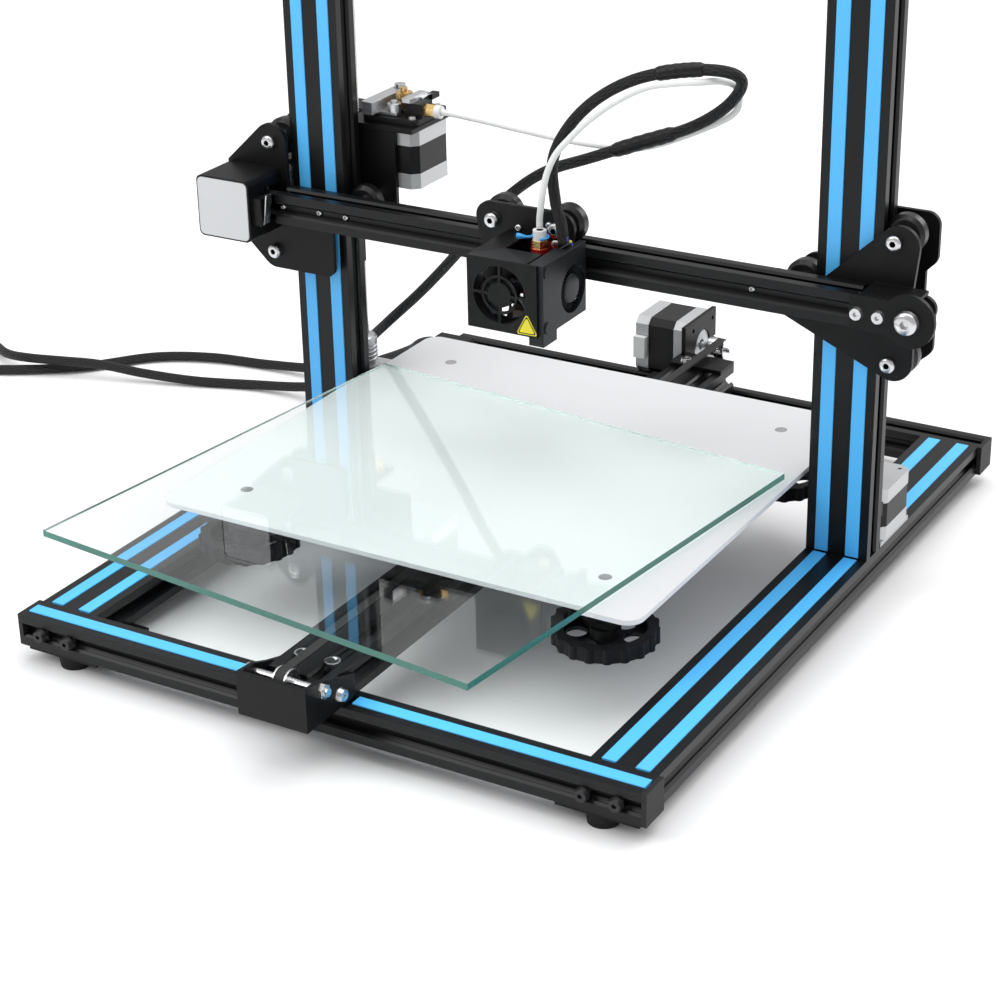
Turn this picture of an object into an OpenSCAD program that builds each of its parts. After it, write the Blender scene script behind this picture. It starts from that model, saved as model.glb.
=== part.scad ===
// Open-frame fdm printer: slotted-rail frame, sliding bed, rising gantry and hot-end carriage.
// Millimetres. X to the right, Y to the back, Z up; Z = 0 is the surface the feet stand on.

/* [Frame] */
// Width over the outer faces of the side rails
frame_w = 410; // [360:5:460]
// Depth over the front and rear rails
frame_d = 510; // [460:5:560]
// Length of the two uprights
upright_h = 580; // [450:10:640]
// Centre line of the uprights, behind the middle of the base
upright_y = 53; // [30:1:80]
// Diameter of each rubber foot
foot_d = 20; // [14:1:26]

/* [Bed] */
// Side of the square bed plate, left to right
bed_w = 320; // [300:2:324]
// Bed plate, front to back
bed_d = 310; // [290:2:320]
// Height of the bed plate's top face
bed_top = 80; // [78:0.5:84]
// Side of the square glass sheet
glass_w = 312; // [300:1:316]
// Angle at which the loose glass sheet lies
glass_turn = -6.8; // [-8:0.1:0]
// Diameter of the levelling knobs
knob_d = 62; // [40:1:64]

/* [Gantry] */
// Height of the middle of the cross rail
gantry_z = 202; // [160:1:300]
// Middle of the hot-end carriage, left to right
carriage_x = -11; // [-40:1:40]
// Diameter of the grooved wheels
wheel_d = 23.9; // [23.5:0.1:24.1]

/* [Cables] */
// Diameter of the braided cable sleeves
sleeve_d = 7; // [5:0.5:8]
// Diameter of the filament tube
tube_d = 4; // [3:0.5:4]

/* [Hidden] */
$fn = 48;

rail = 20;                    // side of one rail module
plate_t = 3;                  // sheet metal
foot_h = 8;
base_z = foot_h + plate_t;    // underside of the base rails
deck_z = base_z + rail;       // top of the base rails
hw = frame_w / 2;
hd = frame_d / 2;
y_deck = deck_z + rail;       // top of the bed rail
reach = 289.5;                // furthest point front and back
side_reach = 250;             // furthest point left and right

// grooved wheel and slot geometry
wheel_w = 10.2;
wheel_off = 10.45;            // wheel centre from the rail face
bolt_r = 2.5;
bore_r = 2.55;
belt_t = 1.4;
belt_w = 6;
pitch_r = 6.37;               // 20-tooth pulley

// bed
bed_t = 3;
bed_y = -20;
hole_x = 122;
hole_y = 118;
carriage_z = 54.5;            // underside of the bed carriage plate
bed_wheel_y = 62;
bed_wheel_z = deck_z + rail / 2;
y_axis_z = 52.3;              // pulley axis of the bed drive
y_belt_x = 0;
y_motor_y = reach - 21.15;
y_idler_y = -275.5;
y_rail_front = -264;
y_rail_rear = 246.5;
glass_t = 4;
glass_c = [-18.5, -106.5];

// gantry
gy = upright_y - 10 - 8.3;    // rear face of the cross rail, front of the front plates
rail_y = gy - rail / 2;       // centre of the cross rail
rail_x = 200;
wheel_x = hw + wheel_off;
inner_x = hw - 2 * rail - wheel_off;
wheel_dz = 37;
rear_y = upright_y + 15;      // front face of the rear plates
x_motor_x = -side_reach + 21.2;
x_idler_x = 234;
screw_x = hw - rail;
screw_y = upright_y + 34;
screw_r = 4;
nema = 42.3;
z_motor_h = 34;
extruder_c = [-148.1, 92.5];
extruder_z = gantry_z + 45;   // top of the extruder motor

// hot-end carriage
cz = gantry_z + rail / 2 + wheel_off;
carriage_dx = 22;
cplate_y = 8.7;
fan_c = [-0.9, 195];
blower_c = [-1.6, 191.5];
blower_x = 17.8;
shroud_lo = 172;
shroud_hi = 217;
shroud_y = -40;
hot_c = [5.5, -2];

// ---------------------------------------------------------------- helpers
function unit(v) = v / norm(v);
function lerp(a, b, t) = a + (b - a) * t;
// Catmull-Rom point between p1 and p2
function smooth(p0, p1, p2, p3, t) = 0.5 * ((2 * p1) + (p2 - p0) * t
    + (2 * p0 - 5 * p1 + 4 * p2 - p3) * t * t + (3 * p1 - p0 - 3 * p2 + p3) * t * t * t);
function path(pts, n) = let(m = len(pts)) concat(
    [for (i = [0 : m - 2], k = [0 : n - 1])
      smooth(pts[max(i - 1, 0)], pts[i], pts[i + 1], pts[min(i + 2, m - 1)], k / n)],
    [pts[m - 1]]);
function tangent(p, i) = unit(p[min(i + 1, len(p) - 1)] - p[max(i - 1, 0)]);
function side_of(t) = unit(cross(t, abs(t[2]) > 0.9 ? [0, 1, 0] : [0, 0, 1]));
// carry the previous ring's side vector along, so the tube doesn't twist
function carry(s, t) = unit(s - t * (s * t));
function frames(p, i, s, acc) = i >= len(p) ? acc
    : let(t = tangent(p, i), u = carry(s, t)) frames(p, i + 1, u, concat(acc, [[u, cross(t, u)]]));

module tube(pts, r, n = 2, sides = 10) {
  p = path(pts, n);
  f = frames(p, 0, side_of(tangent(p, 0)), []);
  m = len(p);
  ring = [for (i = [0 : m - 1], k = [0 : sides - 1])
    p[i] + r * (cos(360 * k / sides) * f[i][0] + sin(360 * k / sides) * f[i][1])];
  skin = [for (i = [0 : m - 2], k = [0 : sides - 1]) let(a = i * sides, b = (k + 1) % sides)
    [a + k, a + sides + k, a + sides + b, a + b]];
  ends = [[for (k = [0 : sides - 1]) k],
          [for (k = [sides - 1 : -1 : 0]) (m - 1) * sides + k]];
  polyhedron(ring, concat(skin, ends), convexity = 8);
}

// one slot cut, opening towards +Y with the rail face at y = 0
module slot2d()
  polygon([[-4.6, 0.02], [-3.1, -1.48], [-3.1, -1.8], [-5.8, -1.8], [-5.8, -3], [-2.8, -6],
           [2.8, -6], [5.8, -3], [5.8, -1.8], [3.1, -1.8], [3.1, -1.48], [4.6, 0.02]]);

// rail section with n modules along X
module section(n) difference() {
  square([rail * n, rail], center = true);
  for (i = [0 : n - 1]) translate([(i - (n - 1) / 2) * rail, 0]) {
    for (s = [0, 180]) rotate(s) translate([0, rail / 2]) slot2d();
    circle(r = 2.1);
  }
  for (s = [-90, 90]) rotate(s) translate([0, rail * n / 2]) slot2d();
}
module rail_along_z(n, l) linear_extrude(l) section(n);
module rail_along_x(n, l) rotate([0, 90, 0]) rotate(90) linear_extrude(l, center = true) section(n);
module rail_along_y(n, l) rotate([90, 0, 0]) linear_extrude(l, center = true) section(n);

// coloured cover strip lying in a slot that opens towards +Z, running along X
module cover(l) rotate([90, 0, 90]) linear_extrude(l, center = true)
  polygon([[-4.1, 0.5], [-4.35, 0], [-2.85, -1.5], [-2.85, -3.2], [2.85, -3.2],
           [2.85, -1.5], [4.35, 0], [4.1, 0.5]]);

// sheet cut to a 2-D outline in X and Z, front face at y
module sheet_xz(y, t) translate([0, y + t, 0]) rotate([90, 0, 0]) linear_extrude(t) children();

module along_y(y, l) translate([0, y + l, 0]) rotate([90, 0, 0]) children();

// screw with its head's underside at the origin, shank towards -Z
module screw(l, r = bolt_r, head_r = 4.6, head_h = 2.7) {
  difference() {
    cylinder(r1 = head_r, r2 = head_r * 0.8, h = head_h);
    translate([0, 0, head_h - 1.6]) cylinder(r = r * 0.62, h = 2, $fn = 6);
  }
  translate([0, 0, -l]) cylinder(r = r, h = l);
}

// grooved wheel, axis Z, centred on its middle plane
module v_wheel() rotate_extrude() {
  r = wheel_d / 2;
  h = wheel_w / 2;
  flat_r = r - 2.18;
  polygon([[bore_r, -h + 1.6], [bore_r, h - 1.6], [5.2, h - 1.6], [5.2, h], [flat_r - 0.6, h],
           [flat_r, h - 0.2], [r, h - 2.38], [r, -h + 2.38], [flat_r, -h + 0.2],
           [flat_r - 0.6, -h], [5.2, -h], [5.2, -h + 1.6]]);
}

// toothed pulley, axis Z, belt track centred on z = 0
module pulley(bore = bore_r, tail = 0) difference() {
  union() {
    for (z = [-4.2, 3.2]) translate([0, 0, z]) cylinder(r = 7.6, h = 1);
    translate([0, 0, -4]) linear_extrude(8) polygon([for (k = [0 : 59])
      let(r = k % 3 == 0 ? 4.9 : 5.4) r * [cos(6 * k), sin(6 * k)]]);
    if (tail > 0) translate([0, 0, -4 - tail]) cylinder(r = 7.6, h = tail);
  }
  translate([0, 0, -5 - tail]) cylinder(r = bore, h = 12 + tail);
}

// closed flat belt around two pulleys, in the plane of X and Y, centred on z = 0
module belt(x0, x1) linear_extrude(belt_w, center = true) difference() {
  hull() for (x = [x0, x1]) translate([x, 0]) circle(r = pitch_r + belt_t / 2);
  hull() for (x = [x0, x1]) translate([x, 0]) circle(r = pitch_r - belt_t / 2);
}

module motor_outline(s) polygon([for (k = [0 : 3], d = [-1, 1]) let(a = 90 * k, h = s / 2,
    c = s / 2 - 4.6, p = d < 0 ? [h, -c] : [h, c])
    [p[0] * cos(a) - p[1] * sin(a), p[0] * sin(a) + p[1] * cos(a)]]);

// stepper motor, output face at z = 0 looking to +Z
module motor(h, cap = 9) {
  difference() {
    translate([0, 0, -cap]) linear_extrude(cap) motor_outline(nema);
    translate([0, 0, -6]) cylinder(r = 4, h = 10);
    for (x = [-15.5, 15.5], y = [-15.5, 15.5])
      translate([x, y, -5]) cylinder(r = 1.4, h = 6);
  }
  difference() {
    cylinder(r = 11, h = 2);
    translate([0, 0, -1]) cylinder(r = 4, h = 4);
  }
  translate([0, 0, -h + cap]) linear_extrude(h - 2 * cap) motor_outline(nema - 0.5);
  translate([0, 0, -h]) linear_extrude(cap) motor_outline(nema);
}

module mirror_x() for (s = [0, 1]) mirror([s, 0, 0]) children();
module corners(x, y) for (i = [-1, 1], j = [-1, 1]) translate([i * x, j * y, 0]) children();

// ---------------------------------------------------------------- frame
module cross_rails() color([0.04, 0.04, 0.045]) {
  for (s = [-1, 1]) translate([0, s * (hd - rail / 2), base_z + rail / 2])
    rail_along_x(1, frame_w);
  translate([0, upright_y, deck_z + upright_h + rail / 2]) rail_along_x(1, frame_w);
}

module side_rails() color([0.04, 0.04, 0.045]) mirror_x()
  translate([hw - rail, 0, base_z + rail / 2]) rail_along_y(2, frame_d - 2 * rail);

module uprights() color([0.04, 0.04, 0.045]) mirror_x()
  translate([hw - rail, upright_y, deck_z]) rail_along_z(2, upright_h);

// the belt's lower run goes through the chamber between the two modules
module y_rail() color([0.04, 0.04, 0.045])
  translate([0, (y_rail_front + y_rail_rear) / 2, deck_z + rail / 2]) difference() {
    rail_along_y(2, y_rail_rear - y_rail_front);
    cube([7, y_rail_rear - y_rail_front + 2, 16], center = true);
  }

module slot_covers() color([0.25, 0.7, 0.96]) {
  front_l = hw - 25.3;
  side_f = hd - rail + upright_y - rail / 2 - 3;
  side_r = hd - rail - (screw_y + 26);
  mirror_x() {
    translate([24.3 + front_l / 2, -hd + rail / 2, deck_z]) cover(front_l);
    for (x = [hw - 10, hw - 30]) {
      translate([x, -hd + rail + 1 + side_f / 2, deck_z]) rotate(90) cover(side_f);
      translate([x, hd - rail - 1 - side_r / 2, deck_z]) rotate(90) cover(side_r);
      translate([x, upright_y - 10, deck_z + upright_h / 2]) rotate([90, 0, 0]) rotate(90)
        cover(upright_h - 2);
    }
  }
}

module end_caps() color([0.33, 0.34, 0.36]) mirror_x() {
  for (p = [[-hd + 10, base_z + 10], [hd - 10, base_z + 10],
            [upright_y, deck_z + upright_h + 10]])
    translate([hw + 1.5, p[0], p[1]]) cube([3, rail, rail], center = true);
}

module corner_plates() color([0.07, 0.07, 0.08]) mirror_x() for (s = [-1, 1])
  scale([1, s, 1]) difference() {
    translate([hw - 52, hd - 52, foot_h]) cube([50, 50, plate_t]);
    translate([hw - 28, hd - 12, foot_h - 1]) cylinder(r = 3.2, h = plate_t + 2);
    translate([hw - 12, hd - 34, foot_h - 1]) cylinder(r = 2.6, h = plate_t + 2);
  }

module rubber_feet() color([0.03, 0.03, 0.03])
  corners(hw - 28, hd - 12) difference() {
    cylinder(r1 = foot_d / 2 - 1, r2 = foot_d / 2, h = foot_h);
    translate([0, 0, -1]) cylinder(r = 3.2, h = foot_h - 2);
  }

module y_idler_bracket() color([0.05, 0.05, 0.055]) difference() {
  w = rail + 2.7;
  front = reach - 2.5;
  union() {
    translate([-w, -reach, deck_z + 1.5]) cube([2 * w, 2.5, 26.3]);
    for (s = [-1, 1]) translate([s > 0 ? rail + 0.2 : -w, 0, 0]) rotate([90, 0, 90])
      linear_extrude(2.5) polygon([[-front, deck_z + 1.5], [-243, deck_z + 1.5], [-243, 47],
        [-252, 49.5], [-262, 52.5], [-275, 57.5], [-front, 58.8]]);
  }
  for (s = [-1, 1]) {
    translate([s * (rail + 1.5), y_idler_y, y_axis_z]) rotate([0, 90, 0])
      cylinder(r = 2.6, h = 6, center = true);
    translate([s * (rail + 1.5), -258, deck_z + 10]) rotate([0, 90, 0])
      cylinder(r = 2.6, h = 6, center = true);
  }
}

// sheet brackets: bed motor, two riser motors
module motor_brackets() color([0.3, 0.3, 0.31]) {
  difference() {
    union() {
      translate([-18, 240, y_deck + 2]) cube([3, reach - 240, 21.5]);
      translate([-rail, 225, y_deck]) cube([2 * rail, 21.5, 3]);
    }
    translate([-16.5, y_motor_y, y_axis_z]) rotate([0, 90, 0])
      cylinder(r = 11.4, h = 6, center = true);
    for (y = [-15.5, 15.5]) translate([-16.5, y_motor_y + y, y_axis_z + 15.5]) rotate([0, 90, 0])
      cylinder(r = 1.7, h = 6, center = true);
    translate([-10, 231.5, y_deck - 1]) cylinder(r = 2.6, h = 6);
  }
  mirror_x() difference() {
    translate([screw_x - 24, screw_y - 22, deck_z]) cube([44, 45, plate_t]);
    translate([screw_x + 10, screw_y - 15, deck_z - 1]) cylinder(r = 2.2, h = 6);
    translate([screw_x - 10, screw_y + 15, deck_z - 1]) cylinder(r = 2.2, h = 6);
  }
}

module frame_motors() color([0.72, 0.73, 0.75]) {
  translate([-18, y_motor_y, y_axis_z]) rotate([0, 90, 0]) motor(40, 10);
  translate([-18 - 35, y_motor_y - 23.9, y_axis_z]) cube([9, 4.4, 16], center = true);
  mirror_x() translate([screw_x, screw_y, deck_z + plate_t + z_motor_h]) {
    motor(z_motor_h, 9);
    translate([12, -22.6, -11]) cube([16, 2.6, 9], center = true);
  }
}

module y_belt() color([0.03, 0.03, 0.03])
  translate([y_belt_x, 0, y_axis_z]) rotate([0, 90, 0]) rotate(90)
    belt(y_idler_y, y_motor_y);

// screws, stops and switches of the frame
module frame_fixings() color([0.6, 0.61, 0.63]) {
  for (x = [-1, 1], s = [14, 34], y = [-1, 1])
    translate([x * (hw - s), y * (hd + 0.02), base_z + 10]) rotate([-90 * y, 0, 0])
      screw(4, 2.4, 4.3, 3.6);
  for (x = [-10, 10]) translate([x, -245, y_deck + 0.02]) {
    difference() {
      cylinder(r = 4.6, h = 1.5);
      translate([0, 0, 0.4]) cylinder(r1 = 2.6, r2 = 3.7, h = 1.2);
    }
    translate([0, 0, -5]) cylinder(r = 2.4, h = 5.2);
  }
  translate([-10, 231.5, y_deck + 3.02]) screw(8, 2.4, 4.3, 2.4);
  // idler axle and side screws of the front bracket
  translate([-rail - 2.72, y_idler_y, y_axis_z]) rotate([0, -90, 0]) cylinder(r = 4.4, h = 2.4);
  translate([rail + 2.72, y_idler_y, y_axis_z]) rotate([0, 90, 0]) {
    cylinder(r = 4.6, h = 3.4, $fn = 6);
    cylinder(r = 2.5, h = 5.4);
  }
  translate([-rail - 2.72, y_idler_y, y_axis_z]) rotate([0, 90, 0])
    cylinder(r = bolt_r, h = 2 * rail + 5.44);
  for (s = [-1, 1]) translate([s * (rail + 2.72), -258, deck_z + 10]) rotate([0, s * 90, 0])
    screw(6, 2.4, 4.3, 3.4);
  // bed and gantry end switches with their levers
  translate([-rail - 16, 212, deck_z]) cube([14, 20, 10]);
  translate([-rail - 12, 210.4, deck_z + 3]) cube([6, 1.61, 8]);
  translate([-hw + 6, upright_y + 10.1, deck_z + 38]) cube([20, 4, 12]);
}

// ---------------------------------------------------------------- cables
floor_z = sleeve_d / 2 + 0.6;
bed_cable_route = [[-158.6, 141, 72], [-166, 141, 72], [-178, 147, 66], [-194, 159, 54],
  [-224, 172, 37], [-258, 184, 20], [-300, 190, 8.5], [-345, 188, floor_z], [-390, 180, floor_z],
  [-430, 160, floor_z], [-465, 120, floor_z], [-505, 92, floor_z], [-545, 74, floor_z],
  [-580, 67, floor_z], [-608.4, 66, floor_z]];
hot_cable_route = [[22, -2, 217.4], [19, 0, 230], [14, 2, 243.6], [11.1, 5, 267],
  [21.1, 8, 288.7], [38.8, 12, 306.8], [61.7, 18, 319.3], [90, 25, 325.7], [111.9, 32, 324.9],
  [115.8, 40, 316.4], [103.1, 45, 300], [79.4, 48, 284.1], [45.5, 50, 269.8], [10.5, 52, 255],
  [-22.7, 55, 240.6], [-50.9, 60, 220.1], [-77, 66, 194.5], [-103, 75, 165.7],
  [-136.5, 87, 132.5], [-172, 100, 100.5], [-203, 116, 72.3], [-228, 132, 44],
  [-256, 146, 20], [-290, 154, 8.5], [-330, 150, floor_z], [-372, 136, floor_z],
  [-412, 124, floor_z + 3], [-446, 114, 11.6], [-474, 105, 12.4], [-500, 98, 12.4],
  [-530, 106, 7.6], [-560, 124, floor_z], [-590, 134, floor_z], [-625, 138, floor_z],
  [-654.4, 138, floor_z]];
bowden_route = [[-119.5, 86, 258], [-108, 86, 258], [-84, 83, 257.6], [-52, 77, 257.4],
  [-18, 69, 258.2], [14.2, 60, 261], [44.5, 56, 265], [80.9, 53, 280.5], [106.5, 51.8, 296],
  [108.5, 48.8, 311.5], [104.5, 35, 318.2], [98, 22.5, 320], [84, 17, 319], [67.4, 12, 315.5],
  [49.6, 7, 305.5], [34.8, 3, 293.5], [24, 0, 282], [17, -2.4, 273], [12.2, -4, 262],
  [9.4, -4.6, 250], [7.4, -3.6, 240], [hot_c[0], hot_c[1], 232], [hot_c[0], hot_c[1], 226]];
coil_r = 45.5;                // outer radius of a put-away coil, six turns in it

module bed_cable() color([0.05, 0.05, 0.055]) tube(bed_cable_route, sleeve_d / 2, 4);
module hot_end_cable() color([0.05, 0.05, 0.055]) tube(hot_cable_route, sleeve_d / 2, 2);
module bowden_tube() color([0.93, 0.93, 0.9]) tube(bowden_route, tube_d / 2, 4, 8);

// plain closed coil with a round screw-lock connector beside it, facing -Y or +Y
module coil_end(p, q, turn) {
  translate([p[0], p[1], 0]) rotate_extrude() translate([coil_r - 15, 0.1])
    polygon([[0, 3], [3, 0], [12, 0], [15, 3], [15, 18], [12, 21], [3, 21], [0, 18]]);
  translate([q[0], q[1], 9.1]) rotate([turn, 0, 0]) {
    cylinder(r = 8.5, h = 18);
    translate([0, 0, 18]) cylinder(r = 9, h = 9);
    translate([0, 0, -10]) cylinder(r1 = 5, r2 = 7, h = 10);
  }
}
module cable_ends() color([0.05, 0.05, 0.055]) {
  coil_end([-634, 24.5], [-675.5, -38], 90);
  coil_end([-680, 179.5], [-721.5, 242], -90);
}

// ---------------------------------------------------------------- rising drive
module lead_screw(s) color([0.7, 0.71, 0.72]) translate([s * screw_x, screw_y, 0]) {
  top = deck_z + plate_t + z_motor_h;
  translate([0, 0, top + 20]) cylinder(r = screw_r, h = 500);
  translate([0, 0, top - 5]) cylinder(r = 2.5, h = 8);
  translate([0, 0, top + 2.6]) cylinder(r = 9.3, h = 22);
}
module left_lead_screw() lead_screw(-1);
module right_lead_screw() lead_screw(1);

// ---------------------------------------------------------------- bed
module y_pulley() color([0.75, 0.75, 0.76]) translate([y_belt_x, y_motor_y, y_axis_z])
  rotate([0, 90, 0]) {
    pulley(2.4, 5);
    translate([0, 0, -23]) cylinder(r = 2.5, h = 30);
  }
module y_idler() color([0.75, 0.75, 0.76]) translate([y_belt_x, y_idler_y, y_axis_z])
  rotate([0, 90, 0]) pulley();

module bed_carriage() color([0.05, 0.05, 0.055]) {
  translate([0, bed_y, carriage_z]) difference() {
    union() {
      translate([-52, -78, 0]) cube([104, 156, plate_t]);
      for (i = [-1, 1], j = [-1, 1]) linear_extrude(plate_t)
        polygon([[i * 30, j * 50], [i * 52, j * 30], [i * (hole_x + 9), j * (hole_y - 8)],
                 [i * (hole_x + 9), j * (hole_y + 9)], [i * (hole_x - 8), j * (hole_y + 9)]]);
    }
    corners(30, 30) cylinder(r = 14, h = 20, center = true);
    corners(hole_x, hole_y) cylinder(r = 2.3, h = 20, center = true);
    corners(rail + wheel_off, bed_wheel_y) cylinder(r = 2.6, h = 20, center = true);
  }
  // belt clamps and the cable's strain relief
  for (j = [-1, 1]) translate([y_belt_x, bed_y + j * 66, carriage_z + plate_t]) difference() {
    translate([-7, -6, 0]) cube([14, 12, 7]);
    translate([-3.3, -7, 0.2]) cube([6.6, 14, 1.9]);
  }
  translate([-158, bed_y + bed_d / 2 + 1, bed_top - 13]) cube([26, 9, 12]);
  translate([-154, bed_y + bed_d / 2 - 14, bed_top - 6.2]) cube([18, 16, 3]);
}

module bed_plate() color([0.8, 0.81, 0.82]) translate([0, bed_y, bed_top - bed_t]) difference() {
  hull() corners(bed_w / 2 - 10, bed_d / 2 - 10) cylinder(r = 10, h = bed_t);
  corners(hole_x, hole_y) {
    translate([0, 0, -1]) cylinder(r = 2.2, h = bed_t + 2);
    translate([0, 0, bed_t - 1.8]) cylinder(r1 = 2.2, r2 = 4.2, h = 1.82);
  }
}

module bed_screws() color([0.7, 0.71, 0.72]) translate([0, bed_y, 0]) {
  corners(hole_x, hole_y) {
    translate([0, 0, bed_top - 1.9]) cylinder(r1 = 2, r2 = 3.9, h = 1.8);
    translate([0, 0, 42.6]) cylinder(r = 2, h = bed_top - 44.5);
  }
  corners(rail + wheel_off, bed_wheel_y) {
    translate([0, 0, carriage_z + plate_t]) cylinder(r = 4.4, h = 3);
    translate([0, 0, bed_wheel_z - 9]) cylinder(r = bolt_r, h = carriage_z + plate_t - bed_wheel_z + 9);
    difference() {
      translate([0, 0, bed_wheel_z + wheel_w / 2 + 0.3])
        cylinder(r = 4, h = carriage_z - bed_wheel_z - wheel_w / 2 - 0.3);
      translate([0, 0, bed_wheel_z]) cylinder(r = bolt_r, h = 20);
    }
    difference() {
      translate([0, 0, bed_wheel_z - wheel_w / 2 - 4.3]) cylinder(r = 4, h = 4, $fn = 6);
      translate([0, 0, bed_wheel_z - 12]) cylinder(r = bolt_r, h = 20);
    }
  }
}

module spring(h, r, wire, turns) {
  n = turns * 12;
  tube([for (i = [0 : n]) [r * cos(30 * i), r * sin(30 * i), wire + (h - 2 * wire) * i / n]],
       wire, 1, 6);
}
module bed_springs() color([0.6, 0.61, 0.62]) translate([0, bed_y, carriage_z + plate_t])
  corners(hole_x, hole_y) spring(bed_top - bed_t - carriage_z - plate_t, 4, 0.7, 6);

module bed_wheel(i, j) color([0.05, 0.05, 0.05])
  translate([i * (rail + wheel_off), bed_y + j * bed_wheel_y, bed_wheel_z]) v_wheel();
module bed_wheel_fl() bed_wheel(-1, -1);
module bed_wheel_fr() bed_wheel(1, -1);
module bed_wheel_rl() bed_wheel(-1, 1);
module bed_wheel_rr() bed_wheel(1, 1);

module knob(i, j) color([0.03, 0.03, 0.03])
  translate([i * hole_x, bed_y + j * hole_y, carriage_z - 10.9]) difference() {
    union() {
      cylinder(r = knob_d / 2 - 1.5, h = 8.8);
      for (k = [0 : 17]) rotate(20 * k) translate([knob_d / 2 - 3.3, 0, 0])
        cylinder(r = 3.3, h = 8.8);
    }
    translate([0, 0, -1]) cylinder(r = 2.06, h = 11);
    translate([0, 0, 2.6]) difference() {
      cylinder(r = knob_d / 2 - 7, h = 7);
      cylinder(r = 9, h = 15, center = true);
    }
    for (k = [0 : 5]) rotate(60 * k + 15) translate([16.5, 0, -1]) cylinder(r = 6.2, h = 11);
  }
module knob_fl() knob(-1, -1);
module knob_fr() knob(1, -1);
module knob_rl() knob(-1, 1);
module knob_rr() knob(1, 1);

module glass_sheet() color([0.72, 0.88, 0.84, 0.4])
  translate([glass_c[0], glass_c[1], bed_top + 0.4 + glass_t / 2]) rotate(glass_turn)
    cube([glass_w, glass_w, glass_t], center = true);

// ---------------------------------------------------------------- gantry
module x_rail() color([0.04, 0.04, 0.045])
  translate([0, rail_y, gantry_z]) rail_along_x(1, 2 * rail_x);

module disc2d(x, z, r) translate([x, z]) circle(r = r);
module dot2d(x, z) translate([x, z]) square(1, center = true);

module wheel_holes(s) for (z = [-wheel_dz, wheel_dz]) {
  disc2d(s * wheel_x, gantry_z + z, 2.6);
  disc2d(s * inner_x, gantry_z, 2.6);
}

module nut_shelf(s) translate([s * screw_x, screw_y, gantry_z - 26]) difference() {
  translate([-14, rear_y + plate_t - screw_y, 0]) cube([28, 26, plate_t]);
  translate([0, 0, -1]) cylinder(r = 5.4, h = 6);
}

module gantry_plates() color([0.05, 0.05, 0.055]) {
  top = gantry_z + wheel_dz;
  low = gantry_z - wheel_dz;
  // front left, with the drive motor's ear
  sheet_xz(gy, plate_t) difference() {
    union() {
      hull() {
        disc2d(-wheel_x, top, 12);
        disc2d(-wheel_x, low, 12);
        dot2d(0.5 - side_reach, gantry_z + 20.5);
        dot2d(0.5 - side_reach, gantry_z - 20.5);
      }
      translate([-wheel_x, low - 12]) square([wheel_x - 174, 58]);
      translate([-174, low - 6]) square([4, 50]);
      disc2d(-176, low - 6, 6);
      translate([-180, gantry_z - 9]) square([25, 18]);
      disc2d(-inner_x, gantry_z, 9);
    }
    wheel_holes(-1);
    disc2d(x_motor_x, gantry_z, 11.4);
  }
  // front right, tapering in under the rail
  sheet_xz(gy, plate_t) difference() {
    union() {
      hull() {
        disc2d(wheel_x + 2.6, top - 2.3, 12.2);
        dot2d(173, gantry_z + 8);
        dot2d(226, gantry_z);
      }
      hull() {
        disc2d(wheel_x + 1.8, low + 2, 12.2);
        dot2d(143, gantry_z - 15);
        dot2d(143, gantry_z + 8.5);
        dot2d(228.6, gantry_z + 4);
      }
      disc2d(x_idler_x, gantry_z, 8);
    }
    wheel_holes(1);
    disc2d(x_idler_x, gantry_z, 2.6);
  }
  // belt idler's front cheek with its top flange
  difference() {
    union() {
      sheet_xz(gy - rail - plate_t, plate_t) union() {
        disc2d(x_idler_x, gantry_z, side_reach - x_idler_x);
        translate([198.5, gantry_z - 10]) square([x_idler_x - 198.5, 21]);
      }
      translate([204, gy - rail - 1, gantry_z + 9.6]) cube([33, rail + 1.5, 2]);
    }
    translate([x_idler_x, gy - 10, gantry_z]) rotate([90, 0, 0])
      cylinder(r = 2.6, h = 40, center = true);
    for (x = [203.4, 216.6]) translate([x, gy - rail, gantry_z]) rotate([90, 0, 0])
      cylinder(r = 2.6, h = 12, center = true);
  }
  // rear left, clear of the drive motor, carrying the extruder
  sheet_xz(rear_y, plate_t) difference() {
    union() {
      disc2d(-wheel_x, top, 12);
      translate([-wheel_x, top - 9]) square([20, 17]);
      translate([-206, gantry_z - 22]) square([65, 67]);
      disc2d(-wheel_x, low, 11);
      translate([-wheel_x, low - 11]) square([wheel_x - 169, 22]);
      translate([-204, low]) square([35, 20]);
    }
    wheel_holes(-1);
  }
  translate([-204, rear_y - 2, extruder_z]) difference() {
    cube([77.6, 48, plate_t]);
    translate([204 - screw_x, screw_y - rear_y + 2, -1]) cylinder(r = 6.5, h = 6);
    translate([204 + extruder_c[0], extruder_c[1] - rear_y + 2, -1]) cylinder(r = 11.4, h = 6);
  }
  // rear right
  sheet_xz(rear_y, plate_t) difference() {
    union() {
      hull() for (p = [[221.4, 240.2], [221.4, 222.5], [218, 219], [181, 240.2], [181, 219]])
        disc2d(p[0], p[1], 8);
      hull() for (p = [[221.4, 186], [221.4, 166.5], [213, 159], [178, 159], [178, 186]])
        disc2d(p[0], p[1], 8);
      translate([170, low]) square([52.4, 2 * wheel_dz]);
      translate([inner_x, gantry_z - 16]) square([40, 26.5]);
      disc2d(inner_x, gantry_z, 10.5);
    }
    wheel_holes(1);
  }
  for (s = [-1, 1]) nut_shelf(s);
}

module round2d(w, h, r) translate([r, r]) offset(r) square([w - 2 * r, h - 2 * r]);

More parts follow.
